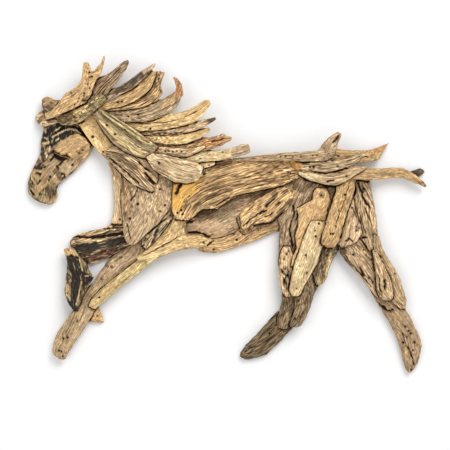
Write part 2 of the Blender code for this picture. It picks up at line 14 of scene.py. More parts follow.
import bpy
import numpy as np
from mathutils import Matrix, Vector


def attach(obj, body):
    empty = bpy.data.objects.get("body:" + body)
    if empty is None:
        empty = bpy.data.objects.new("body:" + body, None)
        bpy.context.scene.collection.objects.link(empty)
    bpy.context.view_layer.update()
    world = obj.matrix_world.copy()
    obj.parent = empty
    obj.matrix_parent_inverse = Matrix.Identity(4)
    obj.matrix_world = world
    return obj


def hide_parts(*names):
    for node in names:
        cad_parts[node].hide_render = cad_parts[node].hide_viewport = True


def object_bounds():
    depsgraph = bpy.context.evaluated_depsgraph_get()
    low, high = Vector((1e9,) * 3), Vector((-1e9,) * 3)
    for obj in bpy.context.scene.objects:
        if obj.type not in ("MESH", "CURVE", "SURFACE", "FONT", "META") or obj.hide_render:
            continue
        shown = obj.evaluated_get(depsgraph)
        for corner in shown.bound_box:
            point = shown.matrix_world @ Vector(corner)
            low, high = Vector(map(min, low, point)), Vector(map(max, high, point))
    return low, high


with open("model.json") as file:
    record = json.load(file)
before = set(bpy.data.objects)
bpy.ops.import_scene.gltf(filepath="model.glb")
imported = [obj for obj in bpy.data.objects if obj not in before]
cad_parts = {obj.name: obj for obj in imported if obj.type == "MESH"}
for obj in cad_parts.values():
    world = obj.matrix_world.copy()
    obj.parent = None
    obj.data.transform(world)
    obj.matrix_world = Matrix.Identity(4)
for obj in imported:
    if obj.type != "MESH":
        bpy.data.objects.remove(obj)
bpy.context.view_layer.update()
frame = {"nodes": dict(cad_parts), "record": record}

MM = 0.001
VOXEL = 1.12  # size of a facet across the grain
STRETCH = 2.2  # how much longer than wide a facet is, along the grain
WELD = 0.01  # points closer than this are one
SOFTENING = 6  # rounds of smoothing after the remesh
SPINE_CELL = 4.0  # of the grid on which a piece's middle line is found
SPINE_STEP = 12.0  # length of one stretch of that line
MAP_CELL = 1.0  # of the height maps that find the crevices between pieces
CREVICE = 3.0  # how far the painted shade of a crevice spreads from the piece above it
FRAYED = 11.0  # how far from its ends a piece is frayed
LIGHT = (0.55, 0.83)  # where it comes from, to the right and up: crevices facing away are darker
OTHER_LIMB = 300.0  # keeps the grain of a fork's second limb apart from the first's
FAR = 1e9  # further than anything
EMPTY = -1e3  # height in a map where there is no piece

# --- colours

def linear(colour):
    """sRGB from 0 to 255 as linear light."""
    c = np.array(colour, dtype=float) / 255
    return np.where(c <= 0.04045, c / 12.92, ((c + 0.055) / 1.055) ** 2.4)


def lit(colours, value):
    """Colours made brighter or darker, none of them past white."""
    colours = colours * value
    return colours / np.maximum(colours.max(axis=1), 0.98)[:, None] * 0.98


# --- noise

def hashed(ix, iy, iz, seed):
    """A repeatable number between -1 and 1 for each lattice point."""
    h = ix * 73856093 ^ iy * 19349663 ^ iz * 83492791 ^ (seed * 2654435761 & 0x7FFFFFFF)
    h = (h ^ (h >> 13)) * 1274126177 & 0xFFFFFFFF
    h = (h ^ (h >> 15)) * 2246822519 & 0xFFFFFFFF
    return ((h >> 8) & 0xFFFF) / 32767.5 - 1.0


def noise(points, seed):
    """Smooth noise between -1 and 1 with features about one unit apart."""
    cell = np.floor(points).astype(np.int64)
    f = points - cell
    f = f * f * f * (f * (f * 6 - 15) + 10)
    total = np.zeros(len(points))
    for corner in product((0, 1), repeat=3):
        x, y, z = (cell[:, axis] + corner[axis] for axis in range(3))
        wx, wy, wz = (f[:, axis] if corner[axis] else 1 - f[:, axis] for axis in range(3))
        total += wx * wy * wz * hashed(x, y, z, seed)
    return total


def step(zero, one, value):
    """0 at one limit and beyond, 1 at the other and beyond, and smooth between them."""
    t = np.clip((value - zero) / (one - zero), 0, 1)
    return t * t * (3 - 2 * t)


# --- marks
# Each of these gives a function that puts a mark on the skin of a piece. Sizes are in millimetres.

def distance_to_path(flat, path):
    """Distance from each point to a spot, or to the nearest stretch of a path."""
    if len(path) == 1:
        return np.hypot(flat[:, 0] - path[0][0], flat[:, 1] - path[0][1])
    best = np.full(len(flat), FAR)
    for a, b in zip(path[:-1], path[1:]):
        a, b = np.array(a, dtype=float), np.array(b, dtype=float)
        run = b - a
        t = np.clip((flat - a) @ run / (run @ run), 0, 1)
        away = flat - a - t[:, None] * run
        best = np.minimum(best, np.hypot(away[:, 0], away[:, 1]))
    return best


class Wood:
    """A kind of wood, by its colour as sRGB from 0 to 255. Called, it gives a stain of that colour.

    A stain is broken up along the fibres: a spot with one place, otherwise a streak along a path.
    Smooth wood has little grain to be seen in it."""

    def __init__(self, *srgb, smooth=False):
        self.tint = linear(srgb)
        self.smooth = smooth

    def __call__(self, amount, width, *path):
        def mark(skin):
            away = distance_to_path(skin.flat, path) / width + 0.16 * skin.tear + 0.14 * skin.wobble
            strength = amount * step(0.56, 0.42, away) * (1 - 0.6 * skin.flake)
            if self.smooth:
                skin.bold *= 1 - 0.75 * strength
                skin.tone += (0.8 - skin.tone) * 0.7 * strength
            skin.light += (self.tint - skin.light) * strength[:, None]
            skin.dark += (self.tint * 0.55 - skin.dark) * strength[:, None]
        return mark


def holes(radius, *places):
    """Worm or nail holes of one radius, cut in and painted black inside as the shade in them."""
    def mark(skin):
        for place in places:
            away = distance_to_path(skin.flat, [place]) + skin.wobble * 0.4
            inside = step(radius * 1.5, radius * 0.8, away) * skin.front
            # Painted shade: the inside of the hole painted black
            skin.black_shade = np.maximum(skin.black_shade, inside)
            skin.cut += inside * radius * 1.6
    return mark


def crack(width, depth, *path):
    """A crack that wanders about its path, cut in, painted black inside and darkened along its sides as
    painted shade.
    """
    def mark(skin):
        away = distance_to_path(skin.moved, path) / (width * (0.85 + 0.45 * skin.wobble))
        inside = step(0.9, 0.5, away) * skin.front
        # Painted shade: the crack painted black inside and darker along its sides
        skin.black_shade = np.maximum(skin.black_shade, inside)
        skin.shade = np.maximum(skin.shade, 0.6 * step(1.6, 0.7, away))
        skin.cut += inside * depth
    return mark


def bite(depth, radius, place):
    """A chip out of an edge."""
    def mark(skin):
        away = distance_to_path(skin.flat, [place]) + skin.wobble
        skin.cut += step(radius, radius * 0.5, away) * skin.front * depth
    return mark


# --- looks of the pieces

# The black of the painted shade in holes, cracks and crevices.
SHADE_BLACK = (28, 16, 8)
cream = Wood(255, 232, 182)
straw = Wood(248, 216, 156)
honey = Wood(238, 198, 142)
sand = Wood(230, 200, 158)
oat = Wood(232, 208, 166)
hay = Wood(232, 212, 152)
white = Wood(255, 248, 226)
clay = Wood(208, 178, 142)
ash = Wood(166, 146, 114)
ochre = Wood(190, 152, 104)
brown = Wood(146, 114, 80)
umber = Wood(108, 84, 60)
bark = Wood(82, 65, 48)
coal = Wood(54, 48, 43, smooth=True)
olive = Wood(156, 138, 98)
moss = Wood(124, 112, 84)
orange = Wood(240, 186, 100, smooth=True)
copper = Wood(228, 160, 104)
rust = Wood(170, 106, 62)
red = Wood(112, 62, 46)
pink = Wood(204, 170, 136, smooth=True)

# The woods of a piece's ridges and of its grooves, how strongly it is striped along its grain and
# blotched, how deep its furrows are, how wide its grain is, how far its ends are frayed, how much longer
# than usual its grain runs, how bright it is next to the named woods, and its marks.
Look = namedtuple("Look", "light dark stripes blotches furrows grain fray length value marks")
LOOKS = {}


def look(name, light, dark, stripes, blotches, furrows, grain, fray, length, value, *marks):
    LOOKS[name] = Look(light, dark, stripes, blotches, furrows, grain, fray, length, value, marks)


# trunk
look("flank_slab", clay, umber, 0.3, 0.8, 0.4, 4.5, 3, 1.3, 1.26,
    umber(0.65, 30, (-64, -28), (-40, -24), (-16, -19), (14, -2), (52, 16), (84, 28)),
    ash(0.6, 30, (-14, -34), (8, -26)), ash(0.5, 34, (4, -50), (24, -34)),
    pink(0.85, 30, (-80, -54), (-54, -54), (-24, -52), (-14, -60)), umber(0.5, 9, (-78, -55), (-70, -52)),
    # Painted shade: the bark stain on the left end, which faces away from the light, and the dark line along
    # the lower edge
    bark(0.5, 12, (-90, -44), (-86, -58)), crack(3.2, 2.4, (-90, -42), (-76, -40)),
    crack(4, 2.4, (-84, -66), (-64, -64), (-50, -69), (-38, -76)), bark(0.6, 12, (-56, -17), (-22, -13)),
    crack(2, 1.6, (24, -30), (28, -48), (34, -60)))
look("belly_slab", honey, brown, 0.35, 0.7, 0.4, 4, 3, 1.3, 0.96, holes(2.4, (24, -81), (-28, -103)),
    holes(1.8, (-52, -105), (17, -68), (73, -59)), crack(2.4, 1.6, (-29, -82), (-42, -94)),
    crack(1.6, 1.6, (30, -60), (38, -68), (44, -70)))
look("thigh_dark", clay, umber, 0.4, 0.7, 0.9, 5, 3, 1.3, 1, bark(0.6, 16, (150, 44), (170, 34), (190, 44)),
    crack(6, 2, (171, 65), (187, 53), (205, 48)), crack(4.6, 2, (214, 45), (230, 40), (250, 40)),
    bark(0.5, 14, (136, 20), (150, 0)),
    crack(3.4, 3, (150, -4), (153, -20), (151, -32), (147, -42), (143, -58), (147, -76), (150, -96)),
    crack(1.8, 2, (160, -6), (163, -20), (158, -36)))

# folded foreleg
look("heel_spur", honey, ochre, 0.3, 0.5, 0.5, 5, 2, 1.3, 1.06, holes(1.8, (-301, -253), (-291, -253)),
    brown(0.6, 6, (-320, -262), (-280, -266)))
look("knee_slab", clay, bark, 0.8, 0.8, 1.2, 5, 4, 2.4, 1.08,
    sand(0.9, 11, (-335, -66), (-300, -64), (-262, -56), (-225, -52)),
    crack(5, 2.5, (-345, -72), (-300, -75), (-262, -70), (-232, -66)),
    straw(0.9, 5, (-335, -92), (-300, -84), (-262, -78), (-222, -70)),
    coal(1, 20, (-340, -100), (-300, -97), (-262, -89), (-226, -80)),
    bark(0.9, 16, (-326, -114), (-290, -112), (-250, -100)), cream(0.9, 5, (-305, -113), (-285, -106)),
    red(0.6, 13, (-313, -128), (-285, -120), (-255, -108)), rust(0.6, 12, (-346, -92)),
    white(0.9, 5, (-343, -84)), crack(2.6, 2.5, (-274, -55), (-252, -54), (-230, -52)))
look("shin_slab", ash, coal, 0.8, 0.8, 1.3, 5, 4, 1.3, 0.87,
    coal(1, 26, (-348, -122), (-340, -150), (-338, -180), (-344, -214), (-344, -236)),
    coal(1, 16, (-326, -150), (-314, -166), (-322, -186)), honey(1, 26, (-360, -104), (-342, -104)),
    crack(3, 2, (-363, -120), (-345, -117), (-332, -120)),
    # Painted highlight: the cream line below is the lit right edge of the cap
    cream(0.9, 4, (-344, -98), (-338, -108), (-333, -118)),
    straw(0.7, 8, (-359, -166), (-359, -190), (-353, -214)), coal(0.9, 5, (-358, -156), (-356, -178)),
    coal(0.9, 5, (-357, -200)), coal(0.9, 6, (-356, -216), (-350, -226)),
    ochre(0.8, 5, (-353, -182), (-350, -202)), straw(0.9, 3.4, (-330, -120), (-326, -135), (-322, -150)),
    straw(0.85, 3.6, (-325, -175), (-330, -200), (-336, -226)), straw(0.9, 3, (-316, -162), (-300, -162)),
    coal(1, 12, (-316, -170), (-302, -168)), cream(0.8, 3, (-300, -163)))

# reaching foreleg
look("foreleg_plank", sand, brown, 0.26, 0.7, 0.7, 4.5, 5, 1.3, 0.85,
    pink(0.4, 26, (-205, -98), (-235, -128), (-268, -158)), moss(0.8, 11, (-249, -124)),
    umber(0.9, 8, (-237, -120)), umber(0.9, 8, (-268, -140)), umber(0.9, 8, (-257, -142)),
    umber(0.9, 8, (-280, -169)), umber(0.5, 7, (-232, -104), (-264, -126), (-282, -150)),
    ash(0.5, 20, (-340, -262), (-366, -300)),
    holes(2.2, (-335, -264), (-357, -301), (-367, -303), (-377, -331), (-371, -333), (-368, -344)),
    straw(0.7, 9, (-387, -322)))
look("cannon_yellow", hay, ochre, 0.4, 0.5, 0.5, 4.5, 4, 1.3, 0.97, holes(2, (-284, -211)),
    brown(0.5, 4, (-212, -158), (-248, -188)))
look("forearm_slab", straw, ochre, 0.4, 0.6, 0.6, 4.5, 4, 2.2, 0.98,
    crack(1.3, 1.2, (-105, -72), (-128, -86), (-150, -98), (-185, -117)),
    hay(0.9, 24, (-200, -128), (-184, -122)), holes(2.2, (-50, -86), (-142, -94)), brown(0.7, 6, (-85, -90)),
    crack(2.4, 1.8, (-34, -84), (-42, -96)), pink(0.6, 6, (-170, -132), (-120, -106), (-60, -98), (-32, -88)),
    # Painted highlight: the cream streak at the end lights the top edge of the elbow's tip
    bite(4, 7, (-147, -121)), cream(0.8, 5, (-36, -78), (-30, -82)))
look("bark_curl", sand, bark, 0.9, 0.9, 2.2, 5, 4, 1.3, 0.95, cream(1, 8, (-138, -46), (-147, -56)),
    cream(0.9, 7, (-128, -30), (-133, -36)), straw(0.9, 11, (-178, -98)),
    coal(1, 8, (-154, -58), (-160, -70)), coal(0.9, 4, (-132, -44), (-150, -66)), coal(0.9, 5, (-137, -36)))

# chest
look("chest_strip", sand, ochre, 0.3, 0.5, 0.4, 4.5, 3, 2, 1.15, holes(2.2, (-239, -35)),
    brown(0.6, 6, (-262, 88), (-248, 56)), cream(0.6, 6, (-252, 60), (-246, 10), (-246, -30)))
look("chest_slab", sand, umber, 0.26, 0.6, 0.5, 4, 3, 2, 1,
    rust(0.3, 22, (-232, 72), (-226, 24), (-222, -16)), umber(0.6, 5, (-236, 60), (-226, 10)),
    umber(0.6, 5, (-220, 40), (-212, 16)), umber(0.8, 8, (-212, -6)), umber(0.7, 8, (-228, -20), (-220, -36)),
    holes(2.6, (-198, 0), (-216, -32)), holes(2.2, (-148, 34), (-137, -2), (-147, -16)),
    moss(0.2, 26, (-200, 30), (-204, -10), (-190, -40)), crack(2, 2, (-214, 8), (-204, 22), (-200, 30)),
    crack(1.6, 1.6, (-222, -44), (-214, -78)))

# hind legs
look("hoof_left", ash, umber, 0.6, 0.7, 1.2, 4, 4, 2.4, 0.55, holes(2.2, (98, -292)),
    pink(0.4, 9, (138, -254), (146, -264)))
look("shank_left", ash, umber, 0.6, 0.7, 1, 4, 3, 2, 0.87, pink(0.7, 10, (128, -270)))
look("shank_right", ash, umber, 0.6, 0.7, 1, 4, 3, 2, 0.8,
    pink(0.7, 10, (176, -205), (166, -230), (158, -250)), sand(0.4, 8, (192, -160), (180, -200)),
    holes(2.2, (155, -258)))
look("splint_tan", sand, brown, 0.4, 0.6, 0.7, 4.5, 3, 1.3, 1.32,
    holes(2.2, (136, -112), (142, -106), (130, -124)), bark(0.6, 11, (132, -144), (140, -166), (136, -188)),
    holes(3.2, (126, -152), (139, -161), (131, -172)), holes(1.8, (133, -146), (142, -152), (141, -180)),
    bark(0.9, 5, (124, -146), (132, -160), (142, -168)), bark(0.9, 5, (128, -166), (136, -180)),
    crack(3, 3, (134, -166), (130, -182)), crack(3, 3, (146, -166), (140, -196)), white(0.9, 5, (133, -167)),
    sand(0.8, 5, (140, -178)))
look("gaskin_stub", ash, umber, 0.6, 0.7, 1.2, 5, 4, 1.3, 1,
    straw(0.9, 6, (236, -112), (231, -138), (225, -158)), rust(0.6, 8, (222, -168)))
look("hoof_right", clay, brown, 0.3, 0.8, 0.8, 5, 4, 1.3, 0.88,
    crack(4.4, 3.5, (346, -226), (354, -232), (362, -240), (370, -240)),
    holes(2.6, (376, -238), (405, -277), (418, -292), (399, -313), (426, -312), (419, -375)),
    holes(2, (412, -286), (408, -300), (422, -330)), crack(2.4, 2.5, (410, -322), (418, -340), (425, -362)),
    crack(1.6, 2, (396, -286), (404, -312)))
look("gaskin_tan", sand, umber, 0.35, 0.7, 0.6, 5, 4, 2, 0.93,
    umber(0.9, 15, (262, -102), (266, -118), (276, -136)),
    crack(4.4, 3.5, (302, -143), (305, -152), (308, -160)), holes(2.4, (331, -175), (287, -113), (322, -166)),
    holes(1.8, (311, -103), (318, -115), (330, -125)), crack(1.6, 1.8, (284, -136), (304, -160), (326, -186)))
look("rump_slab", sand, umber, 0.4, 0.8, 0.6, 4.5, 3, 1.8, 1,
    crack(4.6, 2.5, (286, 57), (291, 40), (288, 20)), crack(4, 2.5, (281, 56), (300, 54), (322, 51)),
    crack(4, 3.2, (298, 48), (303, 34), (308, 20), (314, 4), (326, -8)), bark(0.8, 9, (308, 40), (312, 30)),
    holes(2.6, (311, 35)), crack(1.8, 2.5, (312, -10), (318, -22), (322, -35)),
    crack(1.6, 1.6, (300, -20), (306, -44), (316, -66)), crack(2.6, 2.5, (296, -72), (306, -76), (316, -76)),
    crack(1.8, 2.2, (332, -72), (336, -82), (338, -92)))
look("gaskin_rear", sand, brown, 0.4, 0.6, 0.8, 4.5, 3, 1.3, 0.82, holes(3.2, (347, -119)),
    holes(2.2, (380, -157)), honey(0.6, 8, (344, -90), (356, -120)))
look("gaskin_front", sand, brown, 0.4, 0.6, 0.6, 4.5, 3, 1.3, 0.96, crack(3.6, 3, (356, -173), (356, -192)),
    crack(1.8, 2.5, (341, -160), (344, -178), (345, -197)),
    crack(4, 3, (333, -187), (338, -198), (342, -207)), cream(0.7, 6, (334, -110), (342, -130)))
look("map_slab", honey, ochre, 0.2, 0.7, 0.6, 5.5, 3, 1.3, 1, ash(0.85, 15, (215, 19)),
    crack(3, 2, (233, -8), (229, -24), (226, -36)), holes(2.2, (215, 19)), orange(0.6, 9, (165, -78)),
    holes(1.8, (165, -78)), cream(0.7, 5, (172, -3), (182, 8), (193, 12)),
    ochre(0.5, 8, (190, -6), (200, -2), (206, -10)))
look("pale_slab", cream, ochre, 0.25, 0.5, 0.6, 5, 3, 1.3, 0.92,
    holes(2.4, (209, -44), (202, -73), (179, -115)),
    holes(1.8, (200, -60), (165, -140), (182, -155), (158, -190)))
look("thigh_wedge", sand, brown, 0.35, 0.7, 0.5, 4.5, 4, 1.8, 1.04,
    holes(2.2, (284, -8), (290, 11), (275, -77)), holes(1.5, (294, -60), (292, -50)),
    clay(0.95, 17, (293, -34), (298, -66)),
    crack(3.6, 2, (284, 14), (276, -8), (267, -32), (261, -56), (257, -74)),
    crack(2.2, 2.2, (288, -12), (296, -30), (303, -44)), umber(0.8, 7, (258, -100), (272, -96)),
    crack(2, 2, (268, -84), (278, -78), (284, -84)))
look("thigh_plank", honey, ochre, 0.4, 0.5, 0.5, 4, 4, 2.2, 0.85,
    holes(2.4, (267, 21), (235, -67), (240, -67)), holes(1.6, (252, -30), (246, -50)),
    crack(1.2, 1.4, (276, 44), (268, 12), (254, -24), (246, -44)))

# barrel
look("loin_slab", honey, brown, 0.45, 0.5, 0.6, 4, 4, 2.6, 1.08, moss(0.9, 10, (90, -4), (100, 8), (111, 20)),
    crack(3.4, 3, (90, -5), (98, 4), (108, 12)), umber(0.7, 9, (106, 20), (112, 26)),
    umber(0.8, 8, (128, 26), (138, 31)), crack(2.2, 2, (40, -50), (52, -36), (72, -22), (84, -15)),
    crack(2.4, 2, (84, -18), (90, -14)), crack(2.8, 2, (88, -29), (98, -25), (104, -20)),
    crack(2.4, 2, (112, -2), (120, 4)), crack(3.4, 2.5, (27, -24), (30, -46), (38, -66)),
    umber(0.85, 13, (48, -58), (64, -50), (84, -45), (104, -40), (118, -26), (132, -8), (144, 8)),
    crack(3.6, 2.4, (64, -48), (78, -47), (92, -45), (106, -42), (118, -30), (126, -20)),
    straw(0.5, 16, (50, -34), (72, -22)), honey(0.8, 5, (70, -44), (96, -37), (112, -24)))
look("barrel_slab", honey, umber, 0.6, 0.4, 0.5, 5, 3, 3, 1, brown(0.45, 44, (-84, 0), (-70, 30), (-30, 48)),
    brown(0.5, 30, (-20, 30), (40, 46), (100, 56), (150, 62)),
    ochre(0.4, 26, (-60, 20), (-20, 50), (40, 68), (110, 68)), honey(0.8, 20, (-40, 58), (-16, 66)),
    # Painted shade: the umber streak from X -40 to 6 lies under the lower edge of mane_short
    honey(0.8, 20, (28, 80), (56, 90)), umber(0.6, 14, (-40, 84), (-10, 92), (6, 94)),
    umber(0.4, 12, (-76, 32), (-40, 44)), umber(0.35, 16, (-92, 0), (-70, 20)),
    umber(0.5, 8, (66, 70), (90, 77), (114, 84)), rust(0.3, 10, (40, 98), (90, 104), (134, 100)),
    orange(1, 44, (-72, 62), (-98, 36), (-116, 4), (-124, -16)), honey(0.8, 22, (-114, -26), (-96, -26)),
    crack(5.4, 3.5, (-100, 46), (-107, 36), (-110, 29), (-114, 24)), crack(4, 3.5, (-117, 52), (-122, 42)),
    straw(0.8, 9, (-109, -20)), straw(0.8, 8, (-98, -18)), holes(2.6, (-101, -14), (-109, -20), (-97, -23)),
    holes(2.2, (145, 70), (140, 72)), cream(0.9, 14, (-50, 72)), holes(3.2, (-49, 69)),
    umber(0.8, 8, (-54, 57), (-48, 60)),
    honey(0.8, 8, (-96, -34), (-76, -28), (-52, -6), (-22, -6), (10, 18), (60, 33), (110, 43), (150, 56)),
    crack(2.6, 2, (-20, -3), (-6, 7), (8, 13)), orange(0.9, 11, (152, 94), (158, 84)))

# tail and croup
look("tail_stub", ash, bark, 0.5, 0.7, 0.8, 4, 3, 1.3, 0.4)
look("tail_lower", honey, brown, 0.2, 0.25, 0.5, 4, 3, 2, 0.85, ash(0.7, 8, (340, 68), (375, 68)),
    umber(0.7, 9, (444, 48), (452, 40)), rust(0.5, 8, (424, 56), (440, 46)))
look("tail_upper", honey, ochre, 0.3, 0.25, 0.6, 4.5, 4, 2, 0.78, holes(2, (246, 110), (252, 108)),
    hay(0.8, 9, (326, 98), (344, 103)), copper(0.6, 14, (340, 120), (366, 134)),
    crack(1.6, 1.6, (270, 104), (320, 106)))
look("hip_slab", sand, brown, 0.35, 0.5, 0.7, 4, 4, 2, 1.06, crack(2.8, 2.5, (228, 49), (236, 53)),
    crack(3.6, 1.6, (200, 72), (227, 70), (250, 75), (272, 81)), holes(2.4, (270, 62), (240, 52)),
    crack(1.6, 2, (237, 71), (243, 72)), crack(1.6, 2, (252, 71), (258, 72)),
    cream(0.9, 8, (164, 69), (172, 63), (186, 57)), cream(0.5, 12, (180, 64), (210, 58)))
look("croup_slab", sand, umber, 0.6, 0.6, 0.9, 4, 4, 2, 0.85,
    holes(2.2, (187, 83), (196, 83), (224, 97), (238, 98), (249, 85)),
    crack(3.4, 1.4, (158, 96), (184, 94), (211, 99)), orange(1, 18, (150, 94), (161, 85)),
    copper(0.7, 14, (151, 93), (160, 84)), bark(0.8, 3.5, (272, 96), (288, 101), (298, 106)),
    cream(0.8, 9, (306, 110), (313, 114)))
look("back_branch", sand, brown, 0.4, 0.6, 0.5, 4, 4, 1.8, 0.82,
    holes(1.7, (122, 106), (133, 107), (149, 106), (167, 106), (194, 108), (203, 109)),
    rust(0.4, 8, (60, 104), (110, 107)), crack(4, 2.5, (240, 137), (246, 146), (252, 152)),
    red(0.8, 7, (246, 145)))

# head
look("head_slab", sand, brown, 0.22, 0.8, 0.8, 6, 3, 1.3, 0.85,
    umber(0.7, 20, (-411, 152), (-413, 126), (-408, 104)),
    coal(1, 22, (-403, 153), (-397, 163), (-388, 170), (-374, 174)),
    coal(1, 12, (-412, 158), (-410, 146), (-404, 138)),
    coal(1, 23, (-397, 134), (-388, 145), (-374, 154), (-360, 159)),
    coal(1, 12, (-360, 160), (-342, 161), (-326, 155)), coal(0.95, 8, (-417, 156), (-417, 142)),
    coal(0.95, 7, (-403, 153)), coal(0.9, 9, (-417, 126), (-414, 104), (-411, 96)), coal(0.9, 7, (-406, 127)),
    coal(0.9, 8, (-399, 113), (-394, 118)), umber(0.8, 12, (-426, 98), (-415, 90)),
    cream(0.9, 4, (-410, 150), (-403, 146)), coal(0.9, 6, (-411, 143), (-406, 140)),
    straw(0.9, 5, (-414, 137), (-401, 139)), cream(0.95, 4.5, (-398, 129), (-398, 122)),
    cream(0.9, 4.5, (-407, 115), (-405, 108)), cream(0.9, 5, (-396, 107), (-392, 101)),
    cream(0.95, 3, (-393, 151), (-379, 159), (-364, 167), (-350, 170), (-338, 167), (-328, 161)),
    cream(0.95, 3, (-385, 166), (-374, 174)), cream(0.9, 3.5, (-384, 144), (-378, 148)),
    crack(3, 1.6, (-389, 160), (-374, 169), (-358, 174), (-346, 176)),
    crack(7, 2.4, (-346, 176), (-338, 175), (-326, 166), (-316, 155)),
    crack(3.6, 2, (-316, 155), (-304, 136)), crack(3.4, 2, (-396, 98), (-390, 106), (-386, 112)),
    coal(1, 12, (-437, 85), (-422, 81)), coal(0.9, 7, (-420, 90)), honey(0.8, 7, (-438, 76), (-420, 73)),
    red(0.6, 5, (-434, 75)), crack(4.4, 2, (-427, 70), (-420, 67)), crack(2.8, 2, (-416, 80), (-409, 84)),
    crack(10, 2.6, (-389, 117), (-383, 109), (-374, 105), (-364, 104)),
    crack(3.4, 2.5, (-365, 99), (-371, 93), (-377, 88)), crack(3, 2, (-381, 86), (-378, 80)),
    holes(2.8, (-346, 88), (-397, 61)), holes(2.4, (-400, 54)), umber(0.8, 17, (-381, 72), (-372, 62)),
    brown(0.7, 14, (-392, 46), (-384, 40)), crack(2, 2, (-371, 68), (-363, 68), (-362, 60), (-370, 57)),
    cream(0.7, 4, (-368, 64)), straw(0.7, 14, (-438, 60), (-424, 58), (-430, 46)),
    moss(0.8, 9, (-446, 52), (-442, 36), (-436, 24)), crack(2.6, 2, (-446, 61), (-439, 50), (-435, 42)),
    crack(2.6, 2, (-441, 30), (-434, 21)), cream(0.8, 3.5, (-440, 36), (-434, 27)),
    crack(3, 2, (-425, 46), (-420, 52)), olive(0.7, 26, (-426, 18), (-398, 22), (-392, 36)),
    olive(0.6, 14, (-438, 44), (-430, 26)), orange(0.4, 4, (-433, 20), (-422, 32), (-408, 44), (-396, 52)),
    bark(0.85, 14, (-403, 30), (-390, 26), (-397, 20)), bark(0.8, 6, (-420, 22), (-408, 21)),
    rust(0.4, 7, (-404, 4), (-388, 12)), bark(0.7, 5, (-446, 50), (-438, 38)),
    bark(0.7, 4, (-436, 62), (-426, 48)), bark(0.7, 4, (-444, 34), (-436, 22)),
    bark(0.7, 5, (-414, 30), (-404, 38)), bark(0.6, 6, (-400, 40), (-392, 34)),
    coal(0.8, 4, (-432, 11), (-418, 4), (-410, 1)), coal(0.9, 4, (-383, 38), (-368, 50)),
    coal(0.9, 4, (-354, 66), (-336, 78)))
look("cheek_slab", honey, brown, 0.14, 0.6, 0.3, 4, 1, 1.2, 0.94,
    crack(10, 2.6, (-390, 115), (-383, 107), (-375, 106), (-368, 107), (-358, 104)),
    holes(2, (-331, 115), (-323, 122)), brown(0.6, 5, (-318, 146)), brown(0.5, 12, (-334, 116), (-322, 124)),
    pink(0.3, 24, (-350, 130)), brown(0.5, 5, (-344, 104), (-326, 106), (-312, 118)),
    crack(1.8, 1.2, (-328, 158), (-316, 150), (-308, 138)))
look("brow_stub", sand, umber, 0.35, 0.7, 0.9, 4.5, 3, 1.3, 1.2, umber(0.8, 11, (-424, 186), (-413, 196)),
    umber(0.6, 7, (-400, 184), (-388, 188)))
look("forelock_knob", clay, umber, 0.3, 0.9, 0.7, 4.5, 2, 1.3, 0.78,
    orange(0.5, 7, (-410, 239), (-396, 238), (-384, 230)), umber(0.8, 9, (-402, 217), (-390, 215)),
    umber(0.8, 7, (-394, 227)), bark(0.6, 6, (-416, 234), (-416, 226), (-410, 212), (-402, 204)),
    crack(4, 3, (-378, 226), (-369, 229)))
look("throat_slab", straw, ochre, 0.15, 0.15, 0.3, 5, 3, 1.3, 1.45, holes(3, (-300, 152)),
    holes(2.2, (-277, 118), (-270, 112)), straw(0.6, 14, (-310, 160), (-290, 132)))

# neck and poll
look("neck_slab", straw, moss, 0.32, 0.3, 0.5, 4.5, 3, 2, 1.16,
    moss(0.8, 24, (-286, 204), (-250, 180), (-212, 154), (-166, 122)),
    bark(0.9, 3.4, (-284, 205), (-250, 179), (-212, 152), (-166, 120)),
    hay(0.9, 2.6, (-276, 203), (-248, 184), (-210, 158), (-176, 134)),
    bark(0.8, 3, (-272, 205), (-244, 186), (-208, 162), (-172, 137)),
    umber(0.8, 3.4, (-274, 193), (-240, 168), (-200, 139), (-178, 124)),
    ash(0.9, 9, (-290, 200), (-286, 180), (-268, 156), (-240, 128), (-205, 110)),
    umber(0.8, 3, (-284, 182), (-266, 160), (-238, 133), (-212, 116)), ash(0.7, 22, (-180, 124), (-166, 118)),
    umber(0.6, 4, (-190, 122), (-172, 116)), holes(2.6, (-267, 176), (-249, 156)), holes(1.8, (-226, 166)))
look("poll_slab", olive, bark, 0.5, 0.8, 0.8, 4.5, 3, 1.3, 1.4, umber(0.7, 22, (-372, 188), (-346, 194)),
    straw(0.75, 12, (-336, 203), (-312, 215)), hay(0.9, 4, (-301, 226)), coal(0.9, 4, (-294, 231)),
    hay(0.9, 4, (-288, 236)), coal(0.9, 4, (-282, 240)), coal(0.8, 5, (-312, 212), (-298, 222)))
look("ear_slab", honey, brown, 0.3, 0.6, 0.7, 4.5, 3, 1.3, 1.04,
    holes(2.1, (-305, 295), (-298, 294), (-309, 268), (-347, 249)),
    holes(1.8, (-304, 259), (-317, 247), (-317, 241), (-331, 228), (-328, 236), (-338, 222)),
    crack(2.2, 2, (-306, 283), (-299, 284)), umber(0.8, 11, (-316, 232), (-304, 236)),
    crack(2, 2, (-320, 230), (-308, 230), (-300, 238)))
look("shoulder_oval", oat, brown, 0.4, 0.4, 0.4, 2.6, 2, 2, 1.1, holes(2.4, (-151, 91)),
    umber(0.6, 5, (-140, 73)), white(1, 10, (-53, 72)), holes(3, (-50, 69)),
    brown(0.5, 14, (-150, 82), (-130, 68)))
look("neck_bark", sand, umber, 0.5, 0.7, 0.9, 4, 4, 2, 0.97,
    crack(5.4, 3.5, (-180, 70), (-172, 57), (-163, 46)),
    crack(2.4, 2.6, (-262, 104), (-238, 84), (-214, 62), (-196, 48)),
    umber(0.8, 12, (-250, 112), (-226, 96), (-204, 82)), brown(0.7, 12, (-214, 66), (-196, 54)),
    crack(3, 2.6, (-196, 96), (-186, 84), (-170, 72)), honey(0.5, 8, (-196, 84), (-190, 74)),
    moss(0.5, 18, (-262, 110), (-236, 96)))

